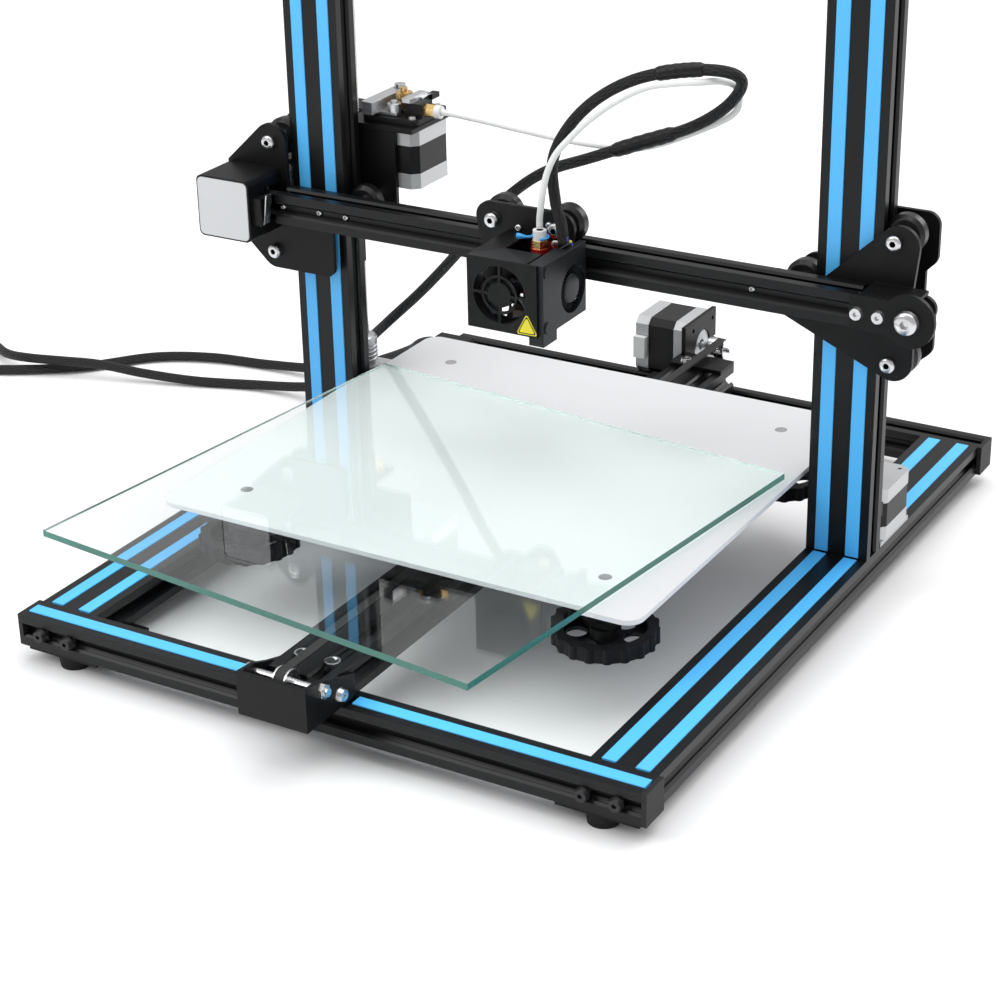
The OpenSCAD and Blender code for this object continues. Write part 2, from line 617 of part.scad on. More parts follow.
module x_motor_cover() color([0.06, 0.06, 0.065]) {
  y0 = -1;
  translate([-side_reach, y0, gantry_z - 20.5]) difference() {
    translate([0, gy - y0, 0]) rotate([90, 0, 0]) linear_extrude(gy - y0) round2d(41, 41, 4);
    translate([1.6, 1.6, 1.6]) cube([37.8, gy, 37.8]);
    translate([35, gy - y0 - 18, 9]) cube([10, 19, 23]);
  }
  translate([-side_reach + 1.2, y0, gantry_z - 19.3]) rotate([90, 0, 0])
    linear_extrude(0.6) round2d(38.6, 38.6, 3.4);
  // end switch beside the cover, lever towards the carriage
  translate([-side_reach + 41, 2, gantry_z - 9]) cube([7, 10, 18]);
  translate([-side_reach + 47.9, 4, gantry_z - 8]) rotate([0, 8, 0]) cube([0.8, 6, 20]);
}

module gantry_motors() color([0.72, 0.73, 0.75]) {
  translate([x_motor_x, gy + plate_t, gantry_z]) rotate([90, 0, 0]) motor(40, 10);
  translate([extruder_c[0], extruder_c[1], extruder_z]) motor(38.7, 10);
}

module extruder_body() color([0.06, 0.06, 0.07]) translate([0, 0, extruder_z + plate_t]) {
  difference() {
    union() {
      translate([extruder_c[0] - 21, extruder_c[1] - 20.8, 0]) linear_extrude(4)
        round2d(42, 41.6, 5);
      translate([-140, 80, 4]) cube([13, 12, 9]);
      translate([-139, 92, 4]) cube([5, 12, 10]);
      translate([-150, 104, 4]) cube([9, 8, 6]);
      // guide arm above the filament, with its hooked end
      translate([-141.5, 79, 13]) cube([6, 22, 3]);
      translate([-137, 100.9, 10.5]) cube([5, 9, 3.4]);
    }
    translate([extruder_c[0], extruder_c[1], -1]) cylinder(r = 11.4, h = 12);
    translate([-141, 86, 8]) rotate([0, 90, 0]) cylinder(r = 2.1, h = 30);
  }
  // filament fitting
  translate([-127, 86, 8]) rotate([0, 90, 0]) difference() {
    union() {
      cylinder(r = 4.4, h = 7, $fn = 6);
      translate([0, 0, 7]) cylinder(r = 4.2, h = 4);
    }
    translate([0, 0, -1]) cylinder(r = 2.1, h = 20);
  }
}

module extruder_gear() color([0.78, 0.6, 0.25]) translate([extruder_c[0], extruder_c[1], 0]) {
  translate([0, 0, extruder_z - 5]) cylinder(r = 2.5, h = 27);
  translate([0, 0, extruder_z + 8]) linear_extrude(11) polygon([for (k = [0 : 71])
    let(r = k % 2 == 0 ? 5.1 : 5.5) r * [cos(5 * k), sin(5 * k)]]);
}

lever_pivot = [-159.8, 106];
module extruder_lever() color([0.75, 0.76, 0.78]) translate([0, 0, extruder_z + plate_t]) {
  difference() {
    union() {
      translate([-164.6, 66, 6.4]) linear_extrude(8) polygon([[1, 0], [9.2, -1], [9.4, 41],
        [7, 44.5], [2, 44.5], [0, 41], [0, 2]]);
      translate([0, 0, 4.4]) linear_extrude(2) polygon([[-164.6, 111], [-155.2, 111],
        [-155.2, 88], [-144, 82], [-144, 76], [-164.6, 76]]);
    }
    translate([lever_pivot[0], lever_pivot[1], -1]) cylinder(r = 2.06, h = 22);
  }
  // bearing that presses the filament against the gear, with its screw
  translate([extruder_c[0], 80.2, 6.4]) cylinder(r = 4.6, h = 5.2);
  translate([extruder_c[0], 80.2, 11.6]) cylinder(r1 = 2.8, r2 = 2.2, h = 1.8);
}

// bolts, spacers and nuts of the gantry, the lead nuts and the extruder's pivot
module wheel_bolt(x, z, head) translate([x, 0, z]) {
  mid = upright_y;
  w = wheel_w / 2 + 0.3;
  if (head) along_y(gy - 2.9, 2.9) cylinder(r = 4.7, h = 2.9);
  along_y(gy + 0.02, rear_y + plate_t + 4 - gy) cylinder(r = bolt_r, h = rear_y + plate_t + 4 - gy);
  for (p = [[gy + plate_t, mid - w], [mid + w, rear_y]])
    along_y(p[0], p[1] - p[0]) difference() {
      cylinder(r = 4.4, h = p[1] - p[0]);
      translate([0, 0, -1]) cylinder(r = bolt_r, h = 30);
    }
  along_y(rear_y + plate_t, 3.8) difference() {
    cylinder(r = 4.4, h = 3.8, $fn = 6);
    translate([0, 0, -1]) cylinder(r = bolt_r, h = 8);
  }
}

module gantry_fixings() color([0.72, 0.73, 0.74]) {
  for (s = [-1, 1]) {
    for (z = [-wheel_dz, wheel_dz]) wheel_bolt(s * wheel_x, gantry_z + z, true);
    wheel_bolt(s * inner_x, gantry_z, false);
    // flanged lead nuts
    translate([s * screw_x, screw_y, gantry_z - 26]) difference() {
      union() {
        translate([0, 0, -3.5]) cylinder(r = 11, h = 3.5);
        cylinder(r = 5.1, h = 13);
      }
      translate([0, 0, -5]) cylinder(r = screw_r + 0.05, h = 22);
    }
  }
  // belt idler bolt and the two rail screws
  translate([x_idler_x, gy - rail - plate_t - 0.02, gantry_z]) rotate([90, 0, 0])
    screw(rail + 2 * plate_t, bolt_r, 7, 3.2);
  for (x = [203.4, 216.6]) translate([x, gy - rail - plate_t - 0.02, gantry_z]) rotate([90, 0, 0])
    screw(5, bolt_r, 4.3, 2.6);
  translate([lever_pivot[0], lever_pivot[1], extruder_z + plate_t + 4]) {
    cylinder(r = 2, h = 10.6);
    translate([0, 0, 10.6]) cylinder(r1 = 4.2, r2 = 3.6, h = 2.2);
  }
  for (p = [[15.5, -15.5], [15.5, 15.5]])
    translate([extruder_c[0] + p[0], extruder_c[1] + p[1], extruder_z + plate_t + 4])
      cylinder(r1 = 2.8, r2 = 2.2, h = 1.8);
}

module x_belt() color([0.03, 0.03, 0.03])
  translate([0, rail_y, gantry_z]) rotate([90, 0, 0]) belt(x_motor_x, x_idler_x);
module x_pulley() color([0.75, 0.75, 0.76]) translate([x_motor_x, rail_y, gantry_z])
  rotate([90, 0, 0]) {
    pulley(2.4, 0);
    translate([0, 0, -16]) cylinder(r = 2.5, h = 22);
  }
module x_idler() color([0.75, 0.75, 0.76]) translate([x_idler_x, rail_y, gantry_z])
  rotate([90, 0, 0]) pulley();

module gantry_wheel(x, z) color([0.05, 0.05, 0.05])
  translate([x, upright_y, z]) rotate([90, 0, 0]) v_wheel();
module wheel_left_top() gantry_wheel(-wheel_x, gantry_z + wheel_dz);
module wheel_left_low() gantry_wheel(-wheel_x, gantry_z - wheel_dz);
module wheel_left_inner() gantry_wheel(-inner_x, gantry_z);
module wheel_right_top() gantry_wheel(wheel_x, gantry_z + wheel_dz);
module wheel_right_low() gantry_wheel(wheel_x, gantry_z - wheel_dz);
module wheel_right_inner() gantry_wheel(inner_x, gantry_z);

// ---------------------------------------------------------------- hot-end carriage
wheel_spots = [[-carriage_dx, cz], [carriage_dx, cz], [0, 2 * gantry_z - cz]];

module carriage_plate() {
  color([0.05, 0.05, 0.055]) sheet_xz(cplate_y, plate_t) difference() {
    hull() {
      for (s = [-1, 1]) {
        disc2d(carriage_x + s * 24, gantry_z + 21.5, 10);
        disc2d(carriage_x + s * 15, gantry_z - 22, 10);
      }
    }
    for (p = wheel_spots) disc2d(carriage_x + p[0], p[1], 2.6);
  }
  // bolts, spacers and nuts
  color([0.72, 0.73, 0.74]) for (p = wheel_spots) translate([carriage_x + p[0], 0, p[1]]) {
    w = wheel_w / 2 + 0.3;
    along_y(cplate_y - 2.9, 2.9) cylinder(r = 4.7, h = 2.9);
    along_y(cplate_y + 0.02, gy - 0.5 - cplate_y) cylinder(r = bolt_r, h = gy - 0.5 - cplate_y);
    along_y(cplate_y + plate_t, rail_y - w - cplate_y - plate_t) difference() {
      cylinder(r = 4, h = rail_y - w - cplate_y - plate_t);
      translate([0, 0, -1]) cylinder(r = bolt_r, h = 30);
    }
    along_y(rail_y + w, 3.6) difference() {
      cylinder(r = 4.4, h = 3.6, $fn = 6);
      translate([0, 0, -1]) cylinder(r = bolt_r, h = 8);
    }
  }
}

module carriage_wheel(k) color([0.05, 0.05, 0.05])
  translate([carriage_x + wheel_spots[k][0], rail_y, wheel_spots[k][1]]) rotate([90, 0, 0]) v_wheel();
module carriage_wheel_left() carriage_wheel(0);
module carriage_wheel_right() carriage_wheel(1);
module carriage_wheel_low() carriage_wheel(2);

// folded sheet box round the hot end with the fan frame inside its front
module shroud() color([0.1, 0.1, 0.11]) {
  h = shroud_hi - shroud_lo;
  difference() {
    translate([-23, shroud_y, shroud_lo]) cube([47.4, cplate_y - shroud_y - 0.02, h]);
    translate([-21.5, shroud_y + 1.5, shroud_lo - 1]) cube([39, 60, h - 0.5]);
    translate([17, shroud_y + 1.5, shroud_lo - 1]) cube([20, 60, h + 4]);
    translate([-8, -20, shroud_hi - 5]) cube([40, 40, 8]);
    // grille: ring and four spokes left standing in the round opening
    along_y(shroud_y - 1, 4) translate([fan_c[0], fan_c[1], 0]) difference() {
      cylinder(r = 17.8, h = 4);
      difference() {
        translate([0, 0, -1]) cylinder(r = 12.2, h = 6);
        translate([0, 0, -2]) cylinder(r = 10.4, h = 8);
      }
      translate([0, 0, -1]) cylinder(r = 7.8, h = 6);
      for (a = [0, 90]) rotate(a) translate([-20, -0.9, -1]) cube([40, 1.8, 6]);
    }
  }
  difference() {
    translate([-20.9, shroud_y + 1.6, fan_c[1] - 19.4]) cube([38.3, 10, 38.8]);
    along_y(shroud_y, 14) translate([fan_c[0], fan_c[1], 0]) cylinder(r = 17.6, h = 14);
  }
  // hub that carries the rotor, behind it
  along_y(shroud_y + 11, 0.6) translate([fan_c[0], fan_c[1], 0]) {
    cylinder(r = 8, h = 0.6);
    for (a = [45, 135]) rotate(a) translate([-18.4, -1, 0]) cube([36.8, 2, 0.6]);
  }
}

module fan_rotor() color([0.06, 0.06, 0.065])
  translate([fan_c[0], shroud_y + 10.6, fan_c[1]]) rotate([90, 0, 0]) {
    cylinder(r = 8.5, h = 8);
    for (k = [0 : 6]) rotate(360 / 7 * k) translate([8, -0.7, 1]) rotate([28, 0, 0])
      cube([8.9, 1.2, 6]);
  }

module blower() color([0.12, 0.12, 0.13]) difference() {
  union() {
    translate([blower_x, shroud_y + 2, shroud_lo + 0.5]) cube([10, 52.2, 44]);
    translate([blower_x, shroud_y + 2, shroud_lo - 6]) cube([10, 16, 6.5]);
    for (z = [shroud_lo + 5, shroud_hi - 5.5]) translate([blower_x, shroud_y + 6.4, z])
      rotate([0, 90, 0]) cylinder(r = 3.6, h = 11);
  }
  translate([blower_x + 1.5, blower_c[0], blower_c[1]]) rotate([0, 90, 0]) cylinder(r = 14.9, h = 12);
  translate([blower_x + 1.5, shroud_y + 3.5, shroud_lo - 7]) cube([7, 13, 20]);
  // room for the carriage plate's edge
  translate([blower_x - 1, cplate_y - 0.2, shroud_lo - 1]) cube([6.8, 12, 50]);
}

module blower_rotor() color([0.05, 0.05, 0.055])
  translate([blower_x + 1.9, blower_c[0], blower_c[1]]) rotate([0, 90, 0]) {
    cylinder(r = 8.6, h = 7.4);
    cylinder(r = 14.1, h = 1);
    for (k = [0 : 23]) rotate(15 * k) translate([11.7, -0.45, 0.5]) cube([2.2, 0.9, 6.6]);
  }

module hot_end() color([0.7, 0.12, 0.1]) translate([hot_c[0], hot_c[1], 0]) {
  for (k = [0 : 7]) translate([0, 0, 180 + 3.2 * k]) cylinder(r = 10.5, h = 1.4);
  translate([0, 0, 178]) difference() {
    cylinder(r = 5.5, h = 36);
    translate([0, 0, 24]) cylinder(r = 2.1, h = 20);
  }
  translate([-13, -16, 166]) cube([24, 20, 12]);
  translate([0, 0, 162]) cylinder(r1 = 0.8, r2 = 3.2, h = 2.2);
  translate([0, 0, 164]) cylinder(r = 3.9, h = 2.2, $fn = 6);
  difference() {
    union() {
      translate([0, 0, 214]) cylinder(r = 5.2, h = 5, $fn = 6);
      translate([0, 0, 219]) cylinder(r = 4.2, h = 6);
    }
    translate([0, 0, 213]) cylinder(r = 2.1, h = 14);
  }
  // block joining the sink to the carriage plate
  translate([-9, 5, 206.5]) cube([18, cplate_y - hot_c[1] - 5.02, 8]);
}

cross_rails();
side_rails();
uprights();
y_rail();
slot_covers();
end_caps();
corner_plates();
rubber_feet();
frame_fixings();
y_idler_bracket();
motor_brackets();
frame_motors();
y_belt();
bed_cable();
hot_end_cable();
cable_ends();
left_lead_screw();
right_lead_screw();
y_pulley();
y_idler();
bed_carriage();
bed_plate();
bed_screws();
bed_springs();
bed_wheel_fl();
bed_wheel_fr();
bed_wheel_rl();
bed_wheel_rr();
knob_fl();
knob_fr();
knob_rl();
knob_rr();
glass_sheet();
x_rail();
gantry_plates();
x_motor_cover();
gantry_motors();
extruder_body();
gantry_fixings();
x_belt();
x_pulley();
x_idler();
extruder_lever();
extruder_gear();
wheel_left_top();
wheel_left_low();
wheel_left_inner();
wheel_right_top();
wheel_right_low();
wheel_right_inner();
carriage_plate();
shroud();
hot_end();
blower();
bowden_tube();
fan_rotor();
blower_rotor();
carriage_wheel_left();
carriage_wheel_right();
carriage_wheel_low();
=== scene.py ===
# %% [markdown]
# An open-frame fdm printer, dressed over its fixed CAD frame. The CAD nodes keep their shapes and get
# finishes made of shader nodes. Pieces that CAD keeps plain, such as braided leads, screw threads,
# belt teeth and fan blades, are surfaces worked out with numpy and take the plain nodes' places.
# Everything is in metres: X to the right, Y to the back, Z up, Z = 0 where the feet stand.

# %% Load the frame
import math

import bpy
import numpy as np
from mathutils import Matrix, Vector


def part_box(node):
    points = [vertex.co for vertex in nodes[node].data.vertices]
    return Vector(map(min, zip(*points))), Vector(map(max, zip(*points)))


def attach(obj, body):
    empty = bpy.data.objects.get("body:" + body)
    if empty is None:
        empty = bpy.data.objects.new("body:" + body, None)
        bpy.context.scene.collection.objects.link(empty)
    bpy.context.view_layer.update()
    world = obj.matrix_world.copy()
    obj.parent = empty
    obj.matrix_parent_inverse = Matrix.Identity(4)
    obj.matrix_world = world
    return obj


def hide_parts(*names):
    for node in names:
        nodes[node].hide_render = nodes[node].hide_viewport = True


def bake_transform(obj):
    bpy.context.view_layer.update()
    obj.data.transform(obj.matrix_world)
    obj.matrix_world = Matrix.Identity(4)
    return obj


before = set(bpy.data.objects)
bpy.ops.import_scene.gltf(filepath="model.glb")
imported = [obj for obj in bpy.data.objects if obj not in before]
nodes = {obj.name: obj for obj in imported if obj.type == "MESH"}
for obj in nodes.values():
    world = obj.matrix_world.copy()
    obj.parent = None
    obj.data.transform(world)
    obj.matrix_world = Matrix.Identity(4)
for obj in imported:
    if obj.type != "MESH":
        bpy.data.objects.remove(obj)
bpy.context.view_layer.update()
scene = bpy.context.scene

# %% [markdown]
# The camera stands to the right of the machine, a little above the gantry, and looks down on the
# bed. It is placed by its three turns, so that its view can be checked against known corners: yaw
# about the vertical, pitch below the horizon, and a slight roll.

# %% Camera
YAW, PITCH, ROLL = (math.radians(a) for a in (30.77, 25.34, -1.19))
EYE = np.array([0.68135, -1.18989, 0.69446])
SENSOR_MM, LENS_MM, SIGHT_END = 36, 86.78, 20

def camera_axes(yaw, pitch, roll):
    """Forward from yaw and pitch, right kept level, up at right angles; then both turned by roll."""
    forward = np.array([-math.sin(yaw) * math.cos(pitch), math.cos(yaw) * math.cos(pitch),
                        -math.sin(pitch)])
    level = np.array([math.cos(yaw), math.sin(yaw), 0.0])
    up = np.cross(level, forward)
    right = level * math.cos(roll) + up * math.sin(roll)
    return right, -level * math.sin(roll) + up * math.cos(roll), -forward

camera = bpy.data.objects.new("camera", bpy.data.cameras.new("camera"))
scene.collection.objects.link(camera)
matrix = np.eye(4)
matrix[:3, :3] = np.array(camera_axes(YAW, PITCH, ROLL)).T
matrix[:3, 3] = EYE
camera.matrix_world = Matrix(matrix.tolist())
camera.data.sensor_width = SENSOR_MM
camera.data.lens = LENS_MM
camera.data.clip_end = SIGHT_END
scene.camera = camera
print("camera at", EYE.round(3))

# %% [markdown]
# The studio is a pale floor under a pale sky. One large lamp to the left and in front gives the
# rails their long soft highlights, one behind lifts the edges, and a wide one overhead whitens the
# floor so that shadows stay light.

# %% Floor and lights
FLOOR_REACH = 9
SKY_STRENGTH = 0.62

def add_lamp(name, place, target, size, power):
    """Square area lamp at place, turned to face target."""
    lamp = bpy.data.objects.new(name, bpy.data.lights.new(name, "AREA"))
    lamp.data.size = size
    lamp.data.energy = power
    lamp.location = place
    aim = Vector(np.subtract(target, place).tolist())
    lamp.rotation_euler = aim.to_track_quat("-Z", "Y").to_euler()
    scene.collection.objects.link(lamp)
    return lamp

def plain_material(name, color, rough):
    """One Principled shader with constants only, for the studio."""
    mat = bpy.data.materials.new(name)
    mat.use_nodes = True
    shader = mat.node_tree.nodes["Principled BSDF"]
    shader.inputs["Base Color"].default_value = (*color, 1)
    shader.inputs["Roughness"].default_value = rough
    return mat

floor_mesh = bpy.data.meshes.new("floor")
floor_mesh.from_pydata([(x * FLOOR_REACH, y * FLOOR_REACH, 0)
                        for x, y in ((-1, -1), (1, -1), (1, 1), (-1, 1))], [], [(0, 1, 2, 3)])
floor = bpy.data.objects.new("floor", floor_mesh)
floor_mesh.materials.append(plain_material("pale_floor", (0.93, 0.93, 0.94), 0.6))
scene.collection.objects.link(floor)
lamps = [add_lamp("key", (-1.6, -1.8, 2.2), (0, 0, 0.1), 1.6, 34),
         add_lamp("top", (0.3, 0.3, 2.8), (0, 0, 0), 3.0, 62),
         add_lamp("back", (1.2, 2.4, 1.6), (0, 0, 0.2), 1.6, 24)]
world = bpy.data.worlds.new("sky")
scene.world = world
world.use_nodes = True
sky = world.node_tree.nodes["Background"]
sky.inputs["Color"].default_value = (1, 1, 1, 1)
sky.inputs["Strength"].default_value = SKY_STRENGTH
scene.view_settings.view_transform = "Standard"
print("lamps", [lamp.name for lamp in lamps])

# %% [markdown]
# A finish is one Principled shader. Object coordinates run through a stretch into two noises: a
# fine one moves roughness and bump, as grain or machining lines do, and a broad one shifts the
# colour slightly, as dust and handling do. A small shader bevel rounds the edges in the light,
# because sheet and extruded parts are never razor sharp.

# %% A finish from noises
HAZE_SCALE = 14
ROUGH_SWING = 0.12
GRAIN_DEPTH = 0.0002
BEVEL_SAMPLES = 4

def link(tree, a, b):
    """Joins output a to input b."""
    tree.links.new(a, b)

def add_node(tree, kind, **inputs):
    """Makes a shader node and sets its unlinked inputs by name."""
    node = tree.nodes.new(kind)
    for key, value in inputs.items():
        node.inputs[key.replace("_", " ")].default_value = value
    return node

def finish(name, color, rough=0.45, metal=0.0, fine=700, stretch=(1, 1, 1), bump=0.15, vary=0.12,
           edge=0.0004, spec=0.5):
    """Colour varies by a broad noise, roughness and height by a fine stretched one. Sockets 6 and 7
    of the Mix node, and its output 2, are the ones that carry colours."""
    mat = bpy.data.materials.new(name)
    mat.use_nodes = True
    tree = mat.node_tree
    shader = tree.nodes["Principled BSDF"]
    shader.inputs["Metallic"].default_value = metal
    shader.inputs["Specular IOR Level"].default_value = spec
    place = tree.nodes.new("ShaderNodeTexCoord")
    turn = add_node(tree, "ShaderNodeMapping", Scale=stretch)
    link(tree, place.outputs["Object"], turn.inputs["Vector"])
    grain = add_node(tree, "ShaderNodeTexNoise", Scale=fine, Detail=3.0, Roughness=0.6)
    link(tree, turn.outputs["Vector"], grain.inputs["Vector"])
    haze = add_node(tree, "ShaderNodeTexNoise", Scale=HAZE_SCALE, Detail=4.0, Roughness=0.55)
    link(tree, place.outputs["Object"], haze.inputs["Vector"])
    tint = add_node(tree, "ShaderNodeMix")
    tint.data_type = "RGBA"
    low, high = ([min(1.0, c * k) for c in color] for k in (1 - vary, 1 + vary))
    tint.inputs[6].default_value = (*low, 1)
    tint.inputs[7].default_value = (*high, 1)
    link(tree, haze.outputs["Fac"], tint.inputs[0])
    link(tree, tint.outputs[2], shader.inputs["Base Color"])
    spread = add_node(tree, "ShaderNodeMapRange", From_Min=0.3, From_Max=0.7,
                      To_Min=rough * (1 - ROUGH_SWING), To_Max=min(1.0, rough * (1 + ROUGH_SWING)))
    link(tree, grain.outputs["Fac"], spread.inputs["Value"])
    link(tree, spread.outputs["Result"], shader.inputs["Roughness"])
    relief = add_node(tree, "ShaderNodeBump", Strength=bump, Distance=GRAIN_DEPTH)
    link(tree, grain.outputs["Fac"], relief.inputs["Height"])
    if edge:
        bevel = add_node(tree, "ShaderNodeBevel", Radius=edge)
        bevel.samples = BEVEL_SAMPLES
        link(tree, bevel.outputs["Normal"], relief.inputs["Normal"])
    link(tree, relief.outputs["Normal"], shader.inputs["Normal"])
    return mat

RAIL = dict(color=(0.0045, 0.0048, 0.0055), rough=0.34, metal=0.0, fine=60, bump=0.10, spec=0.26)
rail_x = finish("anodised_rail_x", stretch=(0.4, 40, 40), **RAIL)
rail_y = finish("anodised_rail_y", stretch=(40, 0.4, 40), **RAIL)
rail_z = finish("anodised_rail_z", stretch=(40, 40, 0.4), **RAIL)
powder = finish("powder_coat", (0.0045, 0.0046, 0.005), 0.42, 0.0, 1500, bump=0.35, spec=0.2)
strip = finish("slot_cover_blue", (0.085, 0.50, 1.0), 0.42, 0.0, 300, bump=0.08, vary=0.04)
cap_grey = finish("end_cap_nylon", (0.012, 0.012, 0.013), 0.55, 0.0, 900, bump=0.3, spec=0.3)
foot_rubber = finish("foot_rubber", (0.008, 0.008, 0.008), 0.8, 0.0, 700, bump=0.5, spec=0.3)
label_grey = finish("blank_label", (0.62, 0.63, 0.64), 0.38, 0.0, 500, bump=0.05, vary=0.03)
zinc = finish("zinc_sheet", (0.45, 0.46, 0.48), 0.34, 1.0, 220, bump=0.1, vary=0.2)
bright_steel = finish("screw_steel", (0.62, 0.62, 0.63), 0.24, 1.0, 900, bump=0.1)
black_oxide = finish("black_screw_steel", (0.02, 0.02, 0.022), 0.4, 0.3, 900, bump=0.2)
cast_cap = finish("cast_motor_cap", (0.55, 0.56, 0.57), 0.42, 0.55, 1400, bump=0.5, vary=0.10)
lamination = finish("motor_lamination", (0.007, 0.007, 0.008), 0.40, 0.0, 60, (4, 4, 60),
                    bump=0.4, spec=0.3)
moulded = finish("moulded_black", (0.007, 0.007, 0.008), 0.48, 0.0, 1200, bump=0.3, spec=0.25)
fan_black = finish("fan_black", (0.010, 0.011, 0.013), 0.45, 0.0, 1200, bump=0.25, spec=0.3)
wheel_black = finish("wheel_acetal", (0.007, 0.007, 0.008), 0.30, 0.0, 400, bump=0.12, spec=0.4)
bed_face = finish("bed_alloy", (0.72, 0.73, 0.75), 0.42, 0.15, 420, bump=0.06, vary=0.025)
pulley_alloy = finish("turned_alloy", (0.72, 0.72, 0.73), 0.26, 1.0, 500, bump=0.1)
brass = finish("brass", (0.72, 0.50, 0.20), 0.28, 1.0, 600, bump=0.1)
heat_tape = finish("heater_wrap", (0.045, 0.022, 0.010), 0.45, 0.0, 200, bump=0.4, spec=0.4)
lever_alloy = finish("cast_lever", (0.62, 0.63, 0.65), 0.32, 0.9, 700, bump=0.2)
sink_red = finish("red_anodised", (0.50, 0.02, 0.02), 0.34, 0.6, 600, bump=0.1)
white_nylon = finish("white_nylon", (0.80, 0.81, 0.80), 0.42, 0.0, 500, bump=0.1, vary=0.04)
sky_clip = finish("clip_blue", (0.04, 0.36, 0.80), 0.35, 0.0, 500, bump=0.1)
belt_black = finish("belt_rubber", (0.012, 0.012, 0.012), 0.62, 0.0, 900, bump=0.4, edge=0)
shrink = finish("heat_shrink", (0.006, 0.006, 0.007), 0.40, 0.0, 250, bump=0.5, edge=0, spec=0.3)
sign_yellow = finish("sign_yellow", (0.80, 0.72, 0.03), 0.45, 0.0, 500, bump=0.05, edge=0)
wire_tones = [finish("wire_" + key, tone, 0.4, 0.0, 300, bump=0.1, edge=0) for key, tone in
              (("black", (0.006, 0.006, 0.006)), ("red", (0.42, 0.012, 0.01)),
               ("white", (0.7, 0.7, 0.68)), ("yellow", (0.75, 0.62, 0.03)),
               ("blue", (0.02, 0.08, 0.5)))]
print("finishes", len(bpy.data.materials))

# %% [markdown]
# Some CAD nodes hold more than one real material, such as a motor's cast caps and its dark
# lamination stack. Each face takes a slot by where its middle is, so no mesh is changed.

# %% Painting faces by place
def near_axis(middle, axis, centre, radius):
    """True where a face's middle is within radius of a line along axis through centre."""
    away = middle - np.asarray(centre)
    away[:, axis] = 0
    return np.linalg.norm(away, axis=1) < radius

def band(values, centre, half):
    """True where a value is within half of centre."""
    return abs(values - centre) < half

def across(normal, axis):
    """True where a face looks sideways from an axis and not along it."""
    return abs(normal[:, axis]) < 0.5

def dress(node, base, *rules):
    """Base finish on a CAD node; each rule is (finish, test), later rules win. A test is given the
    faces' middles c and normals n."""
    mesh = nodes[node].data
    mesh.materials.clear()
    mesh.materials.append(base)
    count = len(mesh.polygons)
    middle = np.empty(count * 3)
    normal = np.empty(count * 3)
    mesh.polygons.foreach_get("center", middle)
    mesh.polygons.foreach_get("normal", normal)
    pick = np.zeros(count, np.int32)
    for number, (material, test) in enumerate(rules, 1):
        mesh.materials.append(material)
        pick[test(middle.reshape(-1, 3), normal.reshape(-1, 3))] = number
    mesh.polygons.foreach_set("material_index", pick)
    print(node, count, "faces", np.bincount(pick, minlength=len(rules) + 1).tolist())

# %% [markdown]
# Clear float glass is nearly colourless through its face and green along its edge, where light
# travels through far more of it. The face lets lamp rays straight through, so what lies under it
# isn't in a false shadow.

# %% Glass
def pane_material(name, color, rough, weight):
    """Transmission for the eye, plain see-through for lamp rays."""
    mat = bpy.data.materials.new(name)
    mat.use_nodes = True
    tree = mat.node_tree
    shader = tree.nodes["Principled BSDF"]
    shader.inputs["Base Color"].default_value = (*color, 1)
    shader.inputs["Transmission Weight"].default_value = weight
    shader.inputs["IOR"].default_value = 1.5
    place = tree.nodes.new("ShaderNodeTexCoord")
    smear = add_node(tree, "ShaderNodeTexNoise", Scale=9.0, Detail=3.0)
    link(tree, place.outputs["Object"], smear.inputs["Vector"])
    spread = add_node(tree, "ShaderNodeMapRange", From_Min=0.4, From_Max=0.8, To_Min=rough,
                      To_Max=rough + 0.03)
    link(tree, smear.outputs["Fac"], spread.inputs["Value"])
    link(tree, spread.outputs["Result"], shader.inputs["Roughness"])
    clear = add_node(tree, "ShaderNodeBsdfTransparent", Color=(0.90, 0.95, 0.93, 1))
    rays = tree.nodes.new("ShaderNodeLightPath")
    mix = tree.nodes.new("ShaderNodeMixShader")
    link(tree, rays.outputs["Is Shadow Ray"], mix.inputs["Fac"])
    link(tree, shader.outputs["BSDF"], mix.inputs[1])
    link(tree, clear.outputs["BSDF"], mix.inputs[2])
    link(tree, mix.outputs["Shader"], tree.nodes["Material Output"].inputs["Surface"])
    return mat

pane = pane_material("clear_pane", (0.955, 0.985, 0.972), 0.0, 1.0)
pane_edge = pane_material("pane_edge", (0.10, 0.42, 0.34), 0.12, 0.6)
dress("glass_sheet", pane, (pane_edge, lambda c, n: across(n, 2)))

# %% [markdown]
# Now every CAD node gets its finish. The riser motors and their brackets stand further than OUTBOARD
# from the middle, the bed's motor nearer to it. A motor's dark stack is a band about its middle, and
# its connector is the part that sticks out of one side.

# %% Frame finishes
OUTBOARD = 0.15
RISER_STACK_Z, RISER_STACK_HALF, RISER_PLUG_Y = 0.051, 0.0085, 0.0655
BED_STACK_X, BED_STACK_HALF, BED_STACK_Y, BED_PLUG_Y = -0.038, 0.0105, 0.247, 0.2467
LABEL_Y, SWITCH_LEVER_X = -0.00101, -0.2018
BED_SWITCH_Y, BED_SWITCH_HALF, BED_SWITCH_TOP = 0.221, 0.0115, 0.0421
GANTRY_SWITCH_Y, GANTRY_SWITCH_HALF = 0.065, 0.003
RING_SCREW_Y, RING_SCREW_HALF, RING_SCREW_TOP = -0.245, 0.0028, 0.0525
END_FACE_Y = 0.254
RAIL_FIXING_X, RAIL_FIXING_Y = 0.05, 0.2

